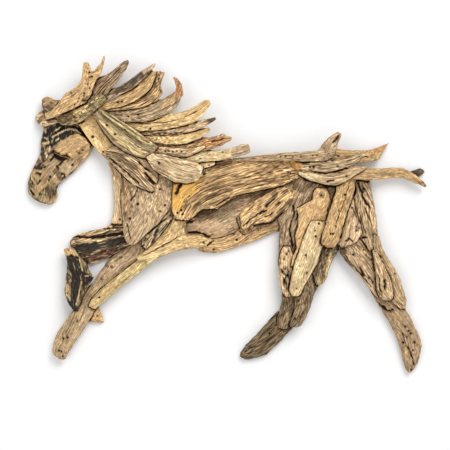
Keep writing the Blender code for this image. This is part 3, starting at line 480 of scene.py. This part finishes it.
# mane
look("mane_short", cream, ochre, 0.25, 0.4, 0.5, 4, 2, 1.3, 1.7, holes(1.8, (-68, 88), (-58, 87), (-38, 87)))
look("mane_long", cream, ochre, 0.3, 0.4, 0.6, 4, 3, 1.3, 0.91, clay(0.9, 26, (24, 117), (54, 126)),
    umber(0.5, 4, (14, 108), (44, 118)),
    holes(2, (-127, 104), (-117, 105), (-105, 103), (-58, 102), (-8, 117)))
look("mane_forked", honey, umber, 0.5, 0.6, 1, 4.5, 4, 1.3, 0.87, copper(0.7, 16, (-50, 134), (-10, 142)),
    crack(2.6, 2.5, (-32, 140), (-8, 146)), holes(2.2, (-142, 132), (-126, 128)), rust(0.6, 8, (-12, 150)))
look("mane_freckled", sand, brown, 0.4, 0.5, 0.8, 4.5, 2, 1.3, 1.05,
    holes(2, (-137, 118), (-129, 118), (-120, 117), (-111, 118), (-100, 117)),
    cream(0.9, 7, (-62, 122), (-48, 128)))
look("mane_honey", straw, ochre, 0.35, 0.4, 0.7, 4.5, 3, 1.3, 1.05, brown(0.5, 5, (-60, 156), (-36, 166)))
look("mane_dark_tip", sand, brown, 0.45, 0.5, 0.8, 4, 3, 1.3, 1, bark(0.9, 12, (-38, 186), (-22, 192)),
    umber(0.6, 7, (-168, 158), (-100, 159)),
    holes(2.2, (-163, 157), (-150, 157), (-136, 158), (-124, 157), (-112, 158), (-101, 159)))
look("mane_gold", straw, ochre, 0.35, 0.4, 1, 5, 5, 2, 1.06,
    crack(1.4, 1.2, (-190, 181), (-160, 182), (-130, 184), (-96, 192), (-66, 208)),
    brown(0.4, 8, (-150, 172), (-110, 178)), holes(2.2, (-171, 169)))
look("mane_sickle", sand, umber, 0.45, 0.6, 0.6, 4.5, 3, 1.3, 0.8,
    copper(0.8, 18, (-126, 240), (-106, 254), (-108, 272), (-116, 286)),
    honey(0.7, 14, (-140, 222), (-118, 240)), holes(2, (-198, 201), (-220, 196)))
look("mane_broad", honey, umber, 0.6, 0.6, 0.6, 4.5, 5, 2, 1, umber(0.7, 9, (-172, 250), (-158, 272)),
    umber(0.6, 6, (-200, 226), (-180, 236)), bite(4, 6, (-141, 262)))
look("mane_flame", honey, ochre, 0.4, 0.6, 0.9, 5, 3, 2, 0.88, holes(2.6, (-243, 229), (-234, 230)),
    umber(0.6, 5, (-216, 250), (-190, 272), (-172, 292)))
look("mane_black_stick", clay, bark, 0.5, 0.7, 0.9, 4, 3, 1.3, 1.06,
    coal(0.85, 17, (-244, 254), (-210, 272), (-192, 288)), clay(0.9, 13, (-182, 298), (-160, 314)))
look("mane_dark_red", clay, umber, 0.5, 0.6, 0.8, 4, 4, 2, 0.75,
    crack(1.6, 1.6, (-284, 262), (-262, 280), (-238, 304)))

# Pieces with no painted shade in the crevice round them.
SNUG = {"cheek_slab", "loin_slab", "back_branch", "croup_slab", "forearm_slab"}

# Lines of grain that bend or fork. Other pieces have one line, found from their outline.
GRAINS = dict(
    barrel_slab=[[(-122, -60), (-108, -20), (-88, 14), (-60, 34), (-20, 50), (40, 70), (110, 90),
                  (170, 104)]],
    cheek_slab=[[(-386, 108), (-360, 124), (-330, 144), (-312, 156)]],
    forearm_slab=[[(-202, -126), (-170, -110), (-145, -94), (-120, -72), (-104, -32)],
                  [(-180, -124), (-150, -109), (-118, -92), (-60, -85), (-29, -81)]],
    mane_forked=[[(-172, 132), (-140, 128), (-100, 127), (-55, 132), (-15, 142), (-1, 157)],
                 [(-50, 131), (-15, 139), (2, 146), (16, 146)]],
    back_branch=[[(12, 99), (60, 103), (120, 108), (180, 107), (222, 110), (246, 116)],
                 [(224, 107), (231, 128), (239, 143), (252, 154), (257, 161)]],
    ear_slab=[[(-403, 190), (-378, 207), (-352, 228), (-324, 244), (-312, 262), (-310, 285), (-313, 318)],
              [(-307, 262), (-297, 284), (-285, 296), (-279, 307), (-271, 332)]])


# --- grain

def travelled(inside, start):
    """How far each cell of a silhouette is from the start cells, staying inside it."""
    result = np.where(start, 0.0, FAR)
    moves = [(dx, dz, math.hypot(dx, dz)) for dx in (-1, 0, 1) for dz in (-1, 0, 1) if dx or dz]
    while True:
        best = result.copy()
        for dx, dz, cost in moves:
            best = np.minimum(best, np.roll(result, (dx, dz), (0, 1)) + cost)
        best[~inside] = FAR
        if np.array_equal(best, result):
            return result
        result = best


def middle_line(flat):
    """The line along the middle of a piece, from end to end, as seen from the front."""
    low = flat.min(axis=0) - 2 * SPINE_CELL
    cells = ((flat - low) / SPINE_CELL).astype(int)
    inside = np.zeros(cells.max(axis=0) + 3, dtype=bool)
    inside[cells[:, 0], cells[:, 1]] = True
    places = np.argwhere(inside)
    start = np.zeros_like(inside)
    start[tuple(places[0])] = True
    for _ in range(2):
        reached = np.where(inside, travelled(inside, start), -1)
        start = reached == reached.max()
    reached = np.where(inside, travelled(inside, start), -1)
    half_width = inside.sum() / reached.max() / 2
    start = reached >= reached.max() - half_width * 0.6
    reached = travelled(inside, start)[places[:, 0], places[:, 1]] * SPINE_CELL
    count = max(3, int(round(reached.max() / SPINE_STEP)))
    band = np.minimum((reached / reached.max() * count).astype(int), count - 1)
    centres = np.array([places[band == index].mean(axis=0) for index in range(count)])
    centres = centres * SPINE_CELL + low + SPINE_CELL / 2
    for _ in range(2):
        centres[1:-1] = (centres[:-2] + 2 * centres[1:-1] + centres[2:]) / 4
    first = centres[0] * 2 - centres[1]
    last = centres[-1] * 2 - centres[-2]
    return np.vstack([first, centres, last])


def along_line(flat, line):
    """Distance along a line, signed distance to its side, and plain distance from it."""
    nearest = np.full(len(flat), FAR)
    along = np.zeros(len(flat))
    side = np.zeros(len(flat))
    done = 0.0
    for index, (a, b) in enumerate(zip(line[:-1], line[1:])):
        run = b - a
        length = np.hypot(*run)
        run = run / length
        offset = flat - a
        at = offset @ run
        low = -FAR if index == 0 else 0.0
        high = FAR if index == len(line) - 2 else length
        at = np.clip(at, low, high)
        away = offset - at[:, None] * run
        distance = np.hypot(away[:, 0], away[:, 1])
        closer = distance < nearest
        nearest[closer] = distance[closer]
        along[closer] = done + at[closer]
        side[closer] = (offset[:, 0] * run[1] - offset[:, 1] * run[0])[closer]
        done += length
    return along, side, nearest


def grain_of(name, flat):
    """Along and across the grain for each point, and how far each is from the piece's two ends."""
    lines = [np.array(line, dtype=float) for line in GRAINS.get(name, [])] or [middle_line(flat)]
    along, side, nearest = along_line(flat, lines[0])
    from_end = np.minimum(along - along.min(), along.max() - along)
    for line in lines[1:]:
        more_along, more_side, more_nearest = along_line(flat, line)
        closer = more_nearest < nearest
        from_end[closer] = (more_along[closer].max() - more_along)[closer]
        along[closer] = more_along[closer] + OTHER_LIMB
        side[closer] = more_side[closer]
    return along, side, from_end


def half_widths(along, side):
    """Half the width of the piece where each point is."""
    band = ((along - along.min()) / SPINE_STEP).astype(int)
    widest = np.zeros(band.max() + 1)
    np.maximum.at(widest, band, np.abs(side))
    return widest[band]


# --- painted shade in the crevices

def array_of(items, attribute, kind=np.float64):
    """An attribute of a mesh's items that has three numbers, as rows."""
    values = np.empty(len(items) * 3, kind)
    items.foreach_get(attribute, values)
    return values.reshape(-1, 3)


def height_map(node):
    """How far a CAD piece reaches out from the wall, on a grid, with the grid's corner."""
    mesh = node.data
    mesh.calc_loop_triangles()
    points = array_of(mesh.vertices, "co") / MM
    low = np.floor(points.min(axis=0)[[0, 2]] / MAP_CELL).astype(int) - 1
    size = np.ceil(points.max(axis=0)[[0, 2]] / MAP_CELL).astype(int) + 2 - low
    grid = np.full(size, EMPTY)
    for triangle in points[array_of(mesh.loop_triangles, "vertices", np.int32)]:
        flat = triangle[:, [0, 2]] / MAP_CELL - low
        first = np.floor(flat.min(axis=0)).astype(int)
        last = np.ceil(flat.max(axis=0)).astype(int) + 1
        gx, gz = np.meshgrid(*(np.arange(a, b) for a, b in zip(first, last)), indexing="ij")
        (ax, az), (bx, bz), (cx, cz) = flat
        area = (bx - ax) * (cz - az) - (cx - ax) * (bz - az)
        if abs(area) < 1e-6:
            continue
        wb = ((gx - ax) * (cz - az) - (cx - ax) * (gz - az)) / area
        wc = ((bx - ax) * (gz - az) - (gx - ax) * (bz - az)) / area
        wa = 1 - wb - wc
        inside = (wa >= 0) & (wb >= 0) & (wc >= 0)
        level = -(wa * triangle[0, 1] + wb * triangle[1, 1] + wc * triangle[2, 1])
        window = grid[first[0]:last[0], first[1]:last[1]]
        window[inside] = np.maximum(window[inside], level[inside])
    return low, grid


def others_map(name, maps):
    """The height map of everything but one piece, around that piece."""
    reach = int(CREVICE / MAP_CELL) + 1
    low, grid = maps[name]
    low = low - reach
    around = np.full(np.array(grid.shape) + 2 * reach, EMPTY)
    for other, (corner, heights) in maps.items():
        if other == name or other in SNUG:
            continue
        start = np.maximum(corner, low)
        end = np.minimum(corner + heights.shape, low + around.shape)
        if (end <= start).any():
            continue
        mine, theirs = (area[tuple(map(slice, start - origin, end - origin))]
                        for area, origin in ((around, low), (heights, corner)))
        np.maximum(mine, theirs, out=mine)
    return low, around


def crevice(points, low, around):
    """How much painted shade falls on each point: 1 right beside a piece that stands above the point, falling
    to 0 at a distance.

    Below and left of the piece above, out of the light, it is darkest."""
    reach = int(CREVICE / MAP_CELL)
    cell = np.round(points[:, [0, 2]] / MAP_CELL).astype(int) - low
    height = -points[:, 1]
    result = np.zeros(len(points))
    for dx in range(-reach, reach + 1):
        for dz in range(-reach, reach + 1):
            distance = math.hypot(dx, dz) * MAP_CELL
            if distance > CREVICE:
                continue
            above = step(0.5, 4.0, around[cell[:, 0] + dx, cell[:, 1] + dz] - height)
            shaded = step(-0.6, 0.8, (LIGHT[0] * dx + LIGHT[1] * dz) * MAP_CELL / max(distance, 0.1))
            result = np.maximum(result, above * (1 - distance / CREVICE) * (0.6 + 0.4 * shaded))
    return result


# --- shapes

def refaced(node):
    """The CAD solid with fine, even faces drawn out along its length and its edges eased."""
    mesh = node.data.copy()
    points = array_of(mesh.vertices, "co") / MM
    flat = points[:, [0, 2]]
    _, directions = np.linalg.eigh(np.cov((flat - flat.mean(axis=0)).T))
    ux, uz = directions[:, 1]
    turn = np.array([[ux, 0, uz], [0, 1, 0], [-uz, 0, ux]])
    squeeze = np.array([1 / STRETCH, 1, 1])
    mesh.vertices.foreach_set("co", (points @ turn.T * squeeze).ravel())
    item = bpy.data.objects.new("remeshing", mesh)
    bpy.context.scene.collection.objects.link(item)
    item.modifiers.new("weld", "WELD").merge_threshold = WELD
    remesh = item.modifiers.new("facets", "REMESH")
    remesh.mode = "VOXEL"
    remesh.voxel_size = VOXEL
    soften = item.modifiers.new("soften", "SMOOTH")
    soften.factor = 0.5
    soften.iterations = SOFTENING
    bpy.context.view_layer.update()
    depsgraph = bpy.context.evaluated_depsgraph_get()
    mesh = bpy.data.meshes.new_from_object(item.evaluated_get(depsgraph))
    bpy.data.objects.remove(item, do_unlink=True)
    points = array_of(mesh.vertices, "co") / squeeze @ turn
    mesh.vertices.foreach_set("co", points.ravel())
    mesh.update()
    return mesh, points


class Skin:
    """The surface of one piece while it is worn down and coloured."""

    def __init__(self, name, seed):
        self.style = LOOKS[name]
        self.seed = seed
        self.mesh, self.points = refaced(frame["nodes"][name])
        self.normals = array_of(self.mesh.vertices, "normal")
        self.flat = self.points[:, [0, 2]]
        self.depth = self.points[:, 1]
        self.front = step(0.55, -0.1, self.normals[:, 1])  # 1 on the front and sides, 0 on the back
        self.edge = step(0.75, 0.25, np.abs(self.normals[:, 1]))  # 1 on the sides
        self.along, self.side, self.from_end = grain_of(name, self.flat)
        self.half = half_widths(self.along, self.side)

        # The grain wanders a little from side to side.
        run = self.along / self.style.length
        still = self.depth * 0 + seed
        self.drift = noise(np.c_[run / 55, self.side / 40, still], seed) * 6.4
        self.drift += noise(np.c_[run / 20, self.side / 16, still], seed + 1) * 1.8
        self.fibre = np.c_[run, self.side + self.drift, self.depth]

        # Noises that more than one step uses.
        grain = self.style.grain
        self.fine = self.grained(36, grain * 0.42, 4)
        self.ridges = self.grained(34, grain, 3)
        self.patchy = self.grained(50, grain * 4, 6)
        self.knots = self.spotted(11, 10)
        self.furrow = step(0.26, 0.02, np.abs(self.grained(80, grain * 2.1, 5)))
        self.furrow *= step(-0.3, 0.4, self.patchy)
        self.tear = self.grained(12, 2.4, 9)
        self.wobble = self.spotted(6.0, 8)
        self.flake = step(0.48, 0.68, self.grained(9, 2.6, 19))
        self.moved = self.flat + 1.3 * np.c_[self.spotted(7, 20), self.spotted(7, 21)]

    def grained(self, length, width, layer):
        """Noise drawn out along the grain."""
        return noise(self.fibre / (length, width, width), self.seed + layer)

    def spotted(self, size, layer):
        """Noise in round patches that go right through the piece."""
        return noise(np.c_[self.flat / size, self.depth * 0], self.seed + layer)

    def wear(self):
        """Swells and hollows, furrows, sides that are nibbled and split, and frayed ends."""
        broad = self.grained(60, self.style.grain * 3, 2)
        grooves = 0.16 * self.ridges + 0.25 * self.fine + 0.6 * self.furrow
        cut = 0.7 + 0.35 * broad + 0.2 * self.knots + self.style.furrows * grooves
        cut = np.maximum(cut, 0) * (0.3 + 0.7 * self.front)
        ragged = 0.5 + 0.5 * noise(np.c_[self.flat / 9, self.depth / 9], self.seed + 12)
        ragged += 0.35 * noise(np.c_[self.flat / 3.5, self.depth / 5], self.seed + 13)
        nibbled = 0.2 + 1.7 * np.maximum(ragged, 0) + 0.5 * self.furrow
        self.cut = cut * (1 - self.edge) + self.edge * nibbled
        across = np.c_[(self.side + self.drift) / 2.8, self.depth / 3.5, self.along * 0]
        splinters = 0.5 + 0.5 * noise(across, self.seed + 7)
        self.fray = step(FRAYED, 0.0, self.from_end) * splinters * self.style.fray

    def colour(self):
        """Tone runs from 0 in the grooves to 1 on the ridges, between the two woods of the piece."""
        style = self.style
        stripes = 1.5 * self.fine + 0.12 * self.ridges + 0.10 * self.grained(70, style.grain * 1.7, 14)
        blotches = 0.30 * self.knots + 0.20 * self.patchy
        self.tone = 0.60 - style.stripes * 0.75 * stripes + style.blotches * 0.36 * blotches
        # Pale rims near the outline: wood worn paler at its edges, and a painted highlight where the edges
        # catch the light
        self.tone += 0.30 * step(4.5, 1.5, self.half - np.abs(self.side)) * (1 - self.edge)
        self.bold = style.stripes * (0.9 + 0.5 * self.patchy)
        # Painted shade in the furrows and on the sides of the piece
        self.shade = np.maximum(self.furrow * min(0.6, 0.04 + 0.28 * style.furrows), 0.15 * self.edge)
        # Dark specks at random, the wood's own, kept with the painted shade
        self.shade = np.maximum(self.shade, 0.5 * step(0.62, 0.78, self.spotted(4.6, 16)))
        # Black painted shade in holes, cracks and crevices, added later
        self.black_shade = np.zeros(len(self.points))
        self.light, self.dark = (np.tile(wood.tint, (len(self.points), 1))
                                 for wood in (style.light, style.dark))
        warm = step(0.0, 0.6, self.spotted(26, 17))[:, None]
        self.light += (honey.tint * 0.92 - self.light) * 0.5 * style.blotches * warm
        cool = step(0.1, 0.6, self.spotted(21, 18))[:, None]
        self.light += (ash.tint - self.light) * 0.4 * style.blotches * cool

    def shade_crevices(self, low, around):
        """Painted shade in the crevices under the pieces above, black at the contact."""
        crevice_shade = crevice(self.points, low, around) * (0.85 + 0.5 * self.spotted(13, 22)) * self.front
        # Painted shade beside the pieces above, painted black close to them
        self.shade = np.maximum(self.shade, 0.7 * step(0.15, 0.6, crevice_shade))
        self.black_shade = np.maximum(self.black_shade, step(0.35, 0.7, crevice_shade) * 0.9)

    def store(self, label, kind, field, values):
        """Values that the material reads, one for each point."""
        layer = self.mesh.attributes.new(label, kind, "POINT")
        layer.data.foreach_set(field, np.ascontiguousarray(values, dtype=np.float32).ravel())

    def shaped(self, solid):
        """The mesh cut down to its worn shape, no part of it past the box of the solid."""
        cut = np.minimum(self.cut, 0.25 * self.half + 0.4)
        worn = self.points - self.normals * cut[:, None]
        outward = self.flat - self.flat.mean(axis=0)
        outward /= np.maximum(np.hypot(outward[:, 0], outward[:, 1]), 1e-6)[:, None]
        worn[:, [0, 2]] -= outward * self.fray[:, None]
        worn = np.clip(worn, solid.min(axis=0), solid.max(axis=0))
        self.mesh.vertices.foreach_set("co", (worn * MM).ravel())
        # The fibres of each piece lie far from those of the others, so no two have the same streaks.
        self.store("fibre", "FLOAT_VECTOR", "vector", self.fibre + (self.seed * 37.0, 0, 0))
        for label, colours in (("light", self.light), ("dark", self.dark)):
            opaque = np.c_[lit(colours, self.style.value), np.ones(len(colours))]
            self.store(label, "FLOAT_COLOR", "color", opaque)
        # Of these, the last two are painted shade: darkening, and black where the shade is deepest
        for label in ("tone", "bold", "shade", "black_shade"):
            self.store(label, "FLOAT", "value", getattr(self, label))
        self.mesh.shade_smooth()
        self.mesh.update()
        return self.mesh


def driftwood(name, seed, maps):
    """One piece of driftwood, as a mesh with the attributes that its material reads."""
    skin = Skin(name, seed)
    skin.wear()
    skin.colour()
    for mark in skin.style.marks:
        mark(skin)
    # Painted shade in the crevices under the other pieces
    skin.shade_crevices(*others_map(name, maps))
    return skin.shaped(array_of(frame["nodes"][name].data.vertices, "co") / MM)


# --- material

GROOVE = (0.42, 0.33, 0.25, 1)  # what crazing and flecks darken the wood by
SHEEN = (0.30, 0.24, 0.15, 1)  # what its palest fibres are brightened by
SHADE = (0.41, 0.29, 0.17, 1)  # what the painted shade in furrows, on sides and in crevices darkens it by


def wood_material(slot, contrast, roughness, relief):
    """Weathered wood. Its colours come from the piece; finer streaks and fibres come from noise."""
    material = bpy.data.materials.new(slot)
    material.use_nodes = True
    nodes = material.node_tree.nodes
    links = material.node_tree.links
    shader = nodes["Principled BSDF"]

    def node(kind, inputs, output=0, **settings):
        """An output of a new node. Each of its inputs is a value or an output of another node."""
        made = nodes.new(kind)
        for key, value in settings.items():
            setattr(made, key, value)
        for key, value in inputs.items():
            if isinstance(value, bpy.types.NodeSocket):
                links.new(value, made.inputs[key])
            else:
                made.inputs[key].default_value = value
        return made.outputs[output]

    def attribute(label, output="Fac"):
        return node("ShaderNodeAttribute", {}, output, attribute_name=label)

    def grain_noise(length, width, detail, roughness_of_noise=0.5):
        factors = {0: attribute("fibre", "Vector"), 1: (1 / length, 1 / width, 1 / width)}
        drawn_out = node("ShaderNodeVectorMath", factors, operation="MULTIPLY")
        return node("ShaderNodeTexNoise", {"Vector": drawn_out, "Scale": 1.0, "Detail": detail,
                                           "Roughness": roughness_of_noise}, "Fac")

    def remap(value, low, high, to_low=0.0, to_high=1.0):
        inputs = {"Value": value, "From Min": low, "From Max": high, "To Min": to_low, "To Max": to_high}
        return node("ShaderNodeMapRange", inputs, "Result", interpolation_type="SMOOTHSTEP")

    def mix(blend, factor, a, b):
        inputs = {"Factor": factor, "A": a, "B": b}
        return node("ShaderNodeMix", inputs, "Result", data_type="RGBA", blend_type=blend)

    def result(operation, a, b=0.0):
        return node("ShaderNodeMath", {0: a, 1: b}, operation=operation)

    plus, minus, times = (partial(result, name) for name in ("ADD", "SUBTRACT", "MULTIPLY"))

    streak = grain_noise(38, 1.9, 1.0, 0.6)
    hair = grain_noise(16, 1.4, 2.0, 0.6)
    fleck = grain_noise(8.0, 1.9, 1.0)
    mottle = grain_noise(9.0, 5.0, 1.0)
    grit = grain_noise(5.0, 1.9, 1.0, 0.6)
    craze = grain_noise(34, 4.6, 0.0)
    crazed = remap(result("ABSOLUTE", minus(craze, 0.5)), 0.07, 0.015)

    bold = attribute("bold")
    detail = plus(times(minus(streak, 0.5), 3.4 * contrast), times(minus(fleck, 0.5), 1.6 * contrast))
    tone = plus(attribute("tone"), times(detail, bold))
    colour = mix("MIX", remap(tone, -0.05, 1.05), attribute("dark", "Color"), attribute("light", "Color"))
    for amount, texture, *limits in (  # how much, which noise, its range, and what it multiplies by
            (bold, fleck, 0.30, 0.68, 0.50, 1.34),
            (bold, streak, 0.30, 0.68, 0.26, 1.54),
            (1.0, mottle, 0.30, 0.70, 0.84, 1.12),
            (1.0, hair, 0.30, 0.70, 0.86, 1.12),
            (remap(mottle, 0.35, 0.65, 0.3, 1.0), grit, 0.28, 0.66, 0.58, 1.26)):
        colour = mix("MULTIPLY", amount, colour, remap(texture, *limits))
    colour = mix("MULTIPLY", times(crazed, bold), colour, GROOVE)
    colour = mix("MULTIPLY", remap(fleck, 0.34, 0.22, 0.0, 0.5), colour, GROOVE)
    colour = mix("SCREEN", remap(hair, 0.58, 0.78, 0.0, 0.30), colour, SHEEN)
    # Painted shade: darker in furrows, on sides and in crevices, and black in holes, cracks and at crevice
    # contacts
    colour = mix("MULTIPLY", attribute("shade"), colour, SHADE)
    colour = mix("MIX", attribute("black_shade"), colour, (*linear(SHADE_BLACK), 1))
    links.new(colour, shader.inputs["Base Color"])
    links.new(remap(streak, 0.3, 0.7, roughness + 0.1, roughness - 0.1), shader.inputs["Roughness"])
    shader.inputs["Specular IOR Level"].default_value = 0.2

    height = plus(times(hair, 0.6), times(streak, 0.9))
    height = minus(height, times(remap(fleck, 0.36, 0.22), 0.4))
    height = minus(height, times(crazed, 0.3))
    bump = node("ShaderNodeBump", {"Strength": 0.8, "Distance": relief * MM, "Height": height})
    links.new(bump, shader.inputs["Normal"])
    return material


# Of each slot: contrast of its streaks, roughness, and height of its fibres in millimetres.
FINISHES = dict(
    wood_pale=(0.8, 0.82, 0.8), wood_tan=(1.0, 0.84, 0.9), wood_orange=(0.9, 0.80, 0.8),
    wood_brown=(1.1, 0.88, 1.1), wood_grey=(1.1, 0.90, 1.2), wood_olive=(1.0, 0.88, 1.0),
    wood_charcoal=(1.2, 0.90, 1.3))


# --- build

SEED_STEP = 23  # one more than the highest layer of noise on a piece
slots = {entry["node"]: entry["material_slot"] for entry in frame["record"]["subparts"]}
materials = {slot: wood_material(slot, *finish) for slot, finish in FINISHES.items()}
maps = {name: height_map(frame["nodes"][name]) for name in LOOKS}
for number, name in enumerate(sorted(LOOKS), start=1):
    mesh = driftwood(name, number * SEED_STEP, maps)
    mesh.name = name + "_wood"
    mesh.materials.clear()
    mesh.materials.append(materials[slots[name]])
    piece = bpy.data.objects.new(name + "_wood", mesh)
    bpy.context.scene.collection.objects.link(piece)
    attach(piece, "root")
    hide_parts(name)


# --- wall, floor, light and camera

def pale_paint():
    """Plain pale paint, seen from its front only."""
    material = bpy.data.materials.new("pale_paint")
    material.use_nodes = True
    nodes = material.node_tree.nodes
    links = material.node_tree.links
    shader = nodes["Principled BSDF"]
    shader.inputs["Base Color"].default_value = (0.85, 0.85, 0.85, 1)
    shader.inputs["Roughness"].default_value = 0.95
    shader.inputs["Specular IOR Level"].default_value = 0.0
    clear = nodes.new("ShaderNodeBsdfTransparent")
    geometry = nodes.new("ShaderNodeNewGeometry")
    both = nodes.new("ShaderNodeMixShader")
    links.new(geometry.outputs["Backfacing"], both.inputs["Fac"])
    links.new(shader.outputs["BSDF"], both.inputs[1])
    links.new(clear.outputs["BSDF"], both.inputs[2])
    links.new(both.outputs["Shader"], nodes["Material Output"].inputs["Surface"])
    return material


def sheet(name, corners, material):
    """A staged four-cornered surface."""
    mesh = bpy.data.meshes.new(name)
    mesh.from_pydata(corners, [], [(0, 1, 2, 3)])
    mesh.materials.append(material)
    item = bpy.data.objects.new(name, mesh)
    bpy.context.scene.collection.objects.link(item)
    item.visible_shadow = False


low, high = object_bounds()
pale = pale_paint()
WALL = high.y + 0.004  # just behind the backs of the pieces
FLOOR = low.z - 1.1
REACH = 8.0  # of the wall and floor to each side
foot = [(-REACH, WALL, FLOOR), (REACH, WALL, FLOOR)]
sheet("wall", foot + [(REACH, WALL, REACH), (-REACH, WALL, REACH)], pale)
sheet("floor", [(-REACH, -REACH, FLOOR), (REACH, -REACH, FLOOR)] + foot[::-1], pale)

LAMP_AIM = (0, 0, -0.05)
LAMP_SIZE = 4.0


def lamp(name, place, watts):
    """A soft round light aimed at the horse."""
    light = bpy.data.lights.new(name, "AREA")
    light.shape = "DISK"
    light.size = LAMP_SIZE
    light.energy = watts
    item = bpy.data.objects.new(name, light)
    item.location = place
    direction = Vector(LAMP_AIM) - Vector(place)
    item.rotation_euler = direction.to_track_quat("-Z", "Y").to_euler()
    bpy.context.scene.collection.objects.link(item)


lamp("key", (2.0, -4.6, 3.8), 250)
lamp("fill", (-3.0, -5.0, 0.5), 55)

world = bpy.data.worlds.new("studio")
bpy.context.scene.world = world
world.use_nodes = True
background = world.node_tree.nodes["Background"]
background.inputs["Color"].default_value = (1.0, 1.0, 1.0, 1)
background.inputs["Strength"].default_value = 0.55

VIEW_CENTRE = (-0.00225, -0.030, -0.04725)
VIEW_WIDTH = 1.0125
VIEW_DISTANCE = 4.0
camera_data = bpy.data.cameras.new("camera")
camera_data.lens = camera_data.sensor_width * VIEW_DISTANCE / VIEW_WIDTH
camera = bpy.data.objects.new("camera", camera_data)
camera.location = (VIEW_CENTRE[0], VIEW_CENTRE[1] - VIEW_DISTANCE, VIEW_CENTRE[2])
camera.rotation_euler = (math.radians(90), 0, 0)
bpy.context.scene.collection.objects.link(camera)
bpy.context.scene.camera = camera
bpy.context.scene.view_settings.view_transform = "Standard"
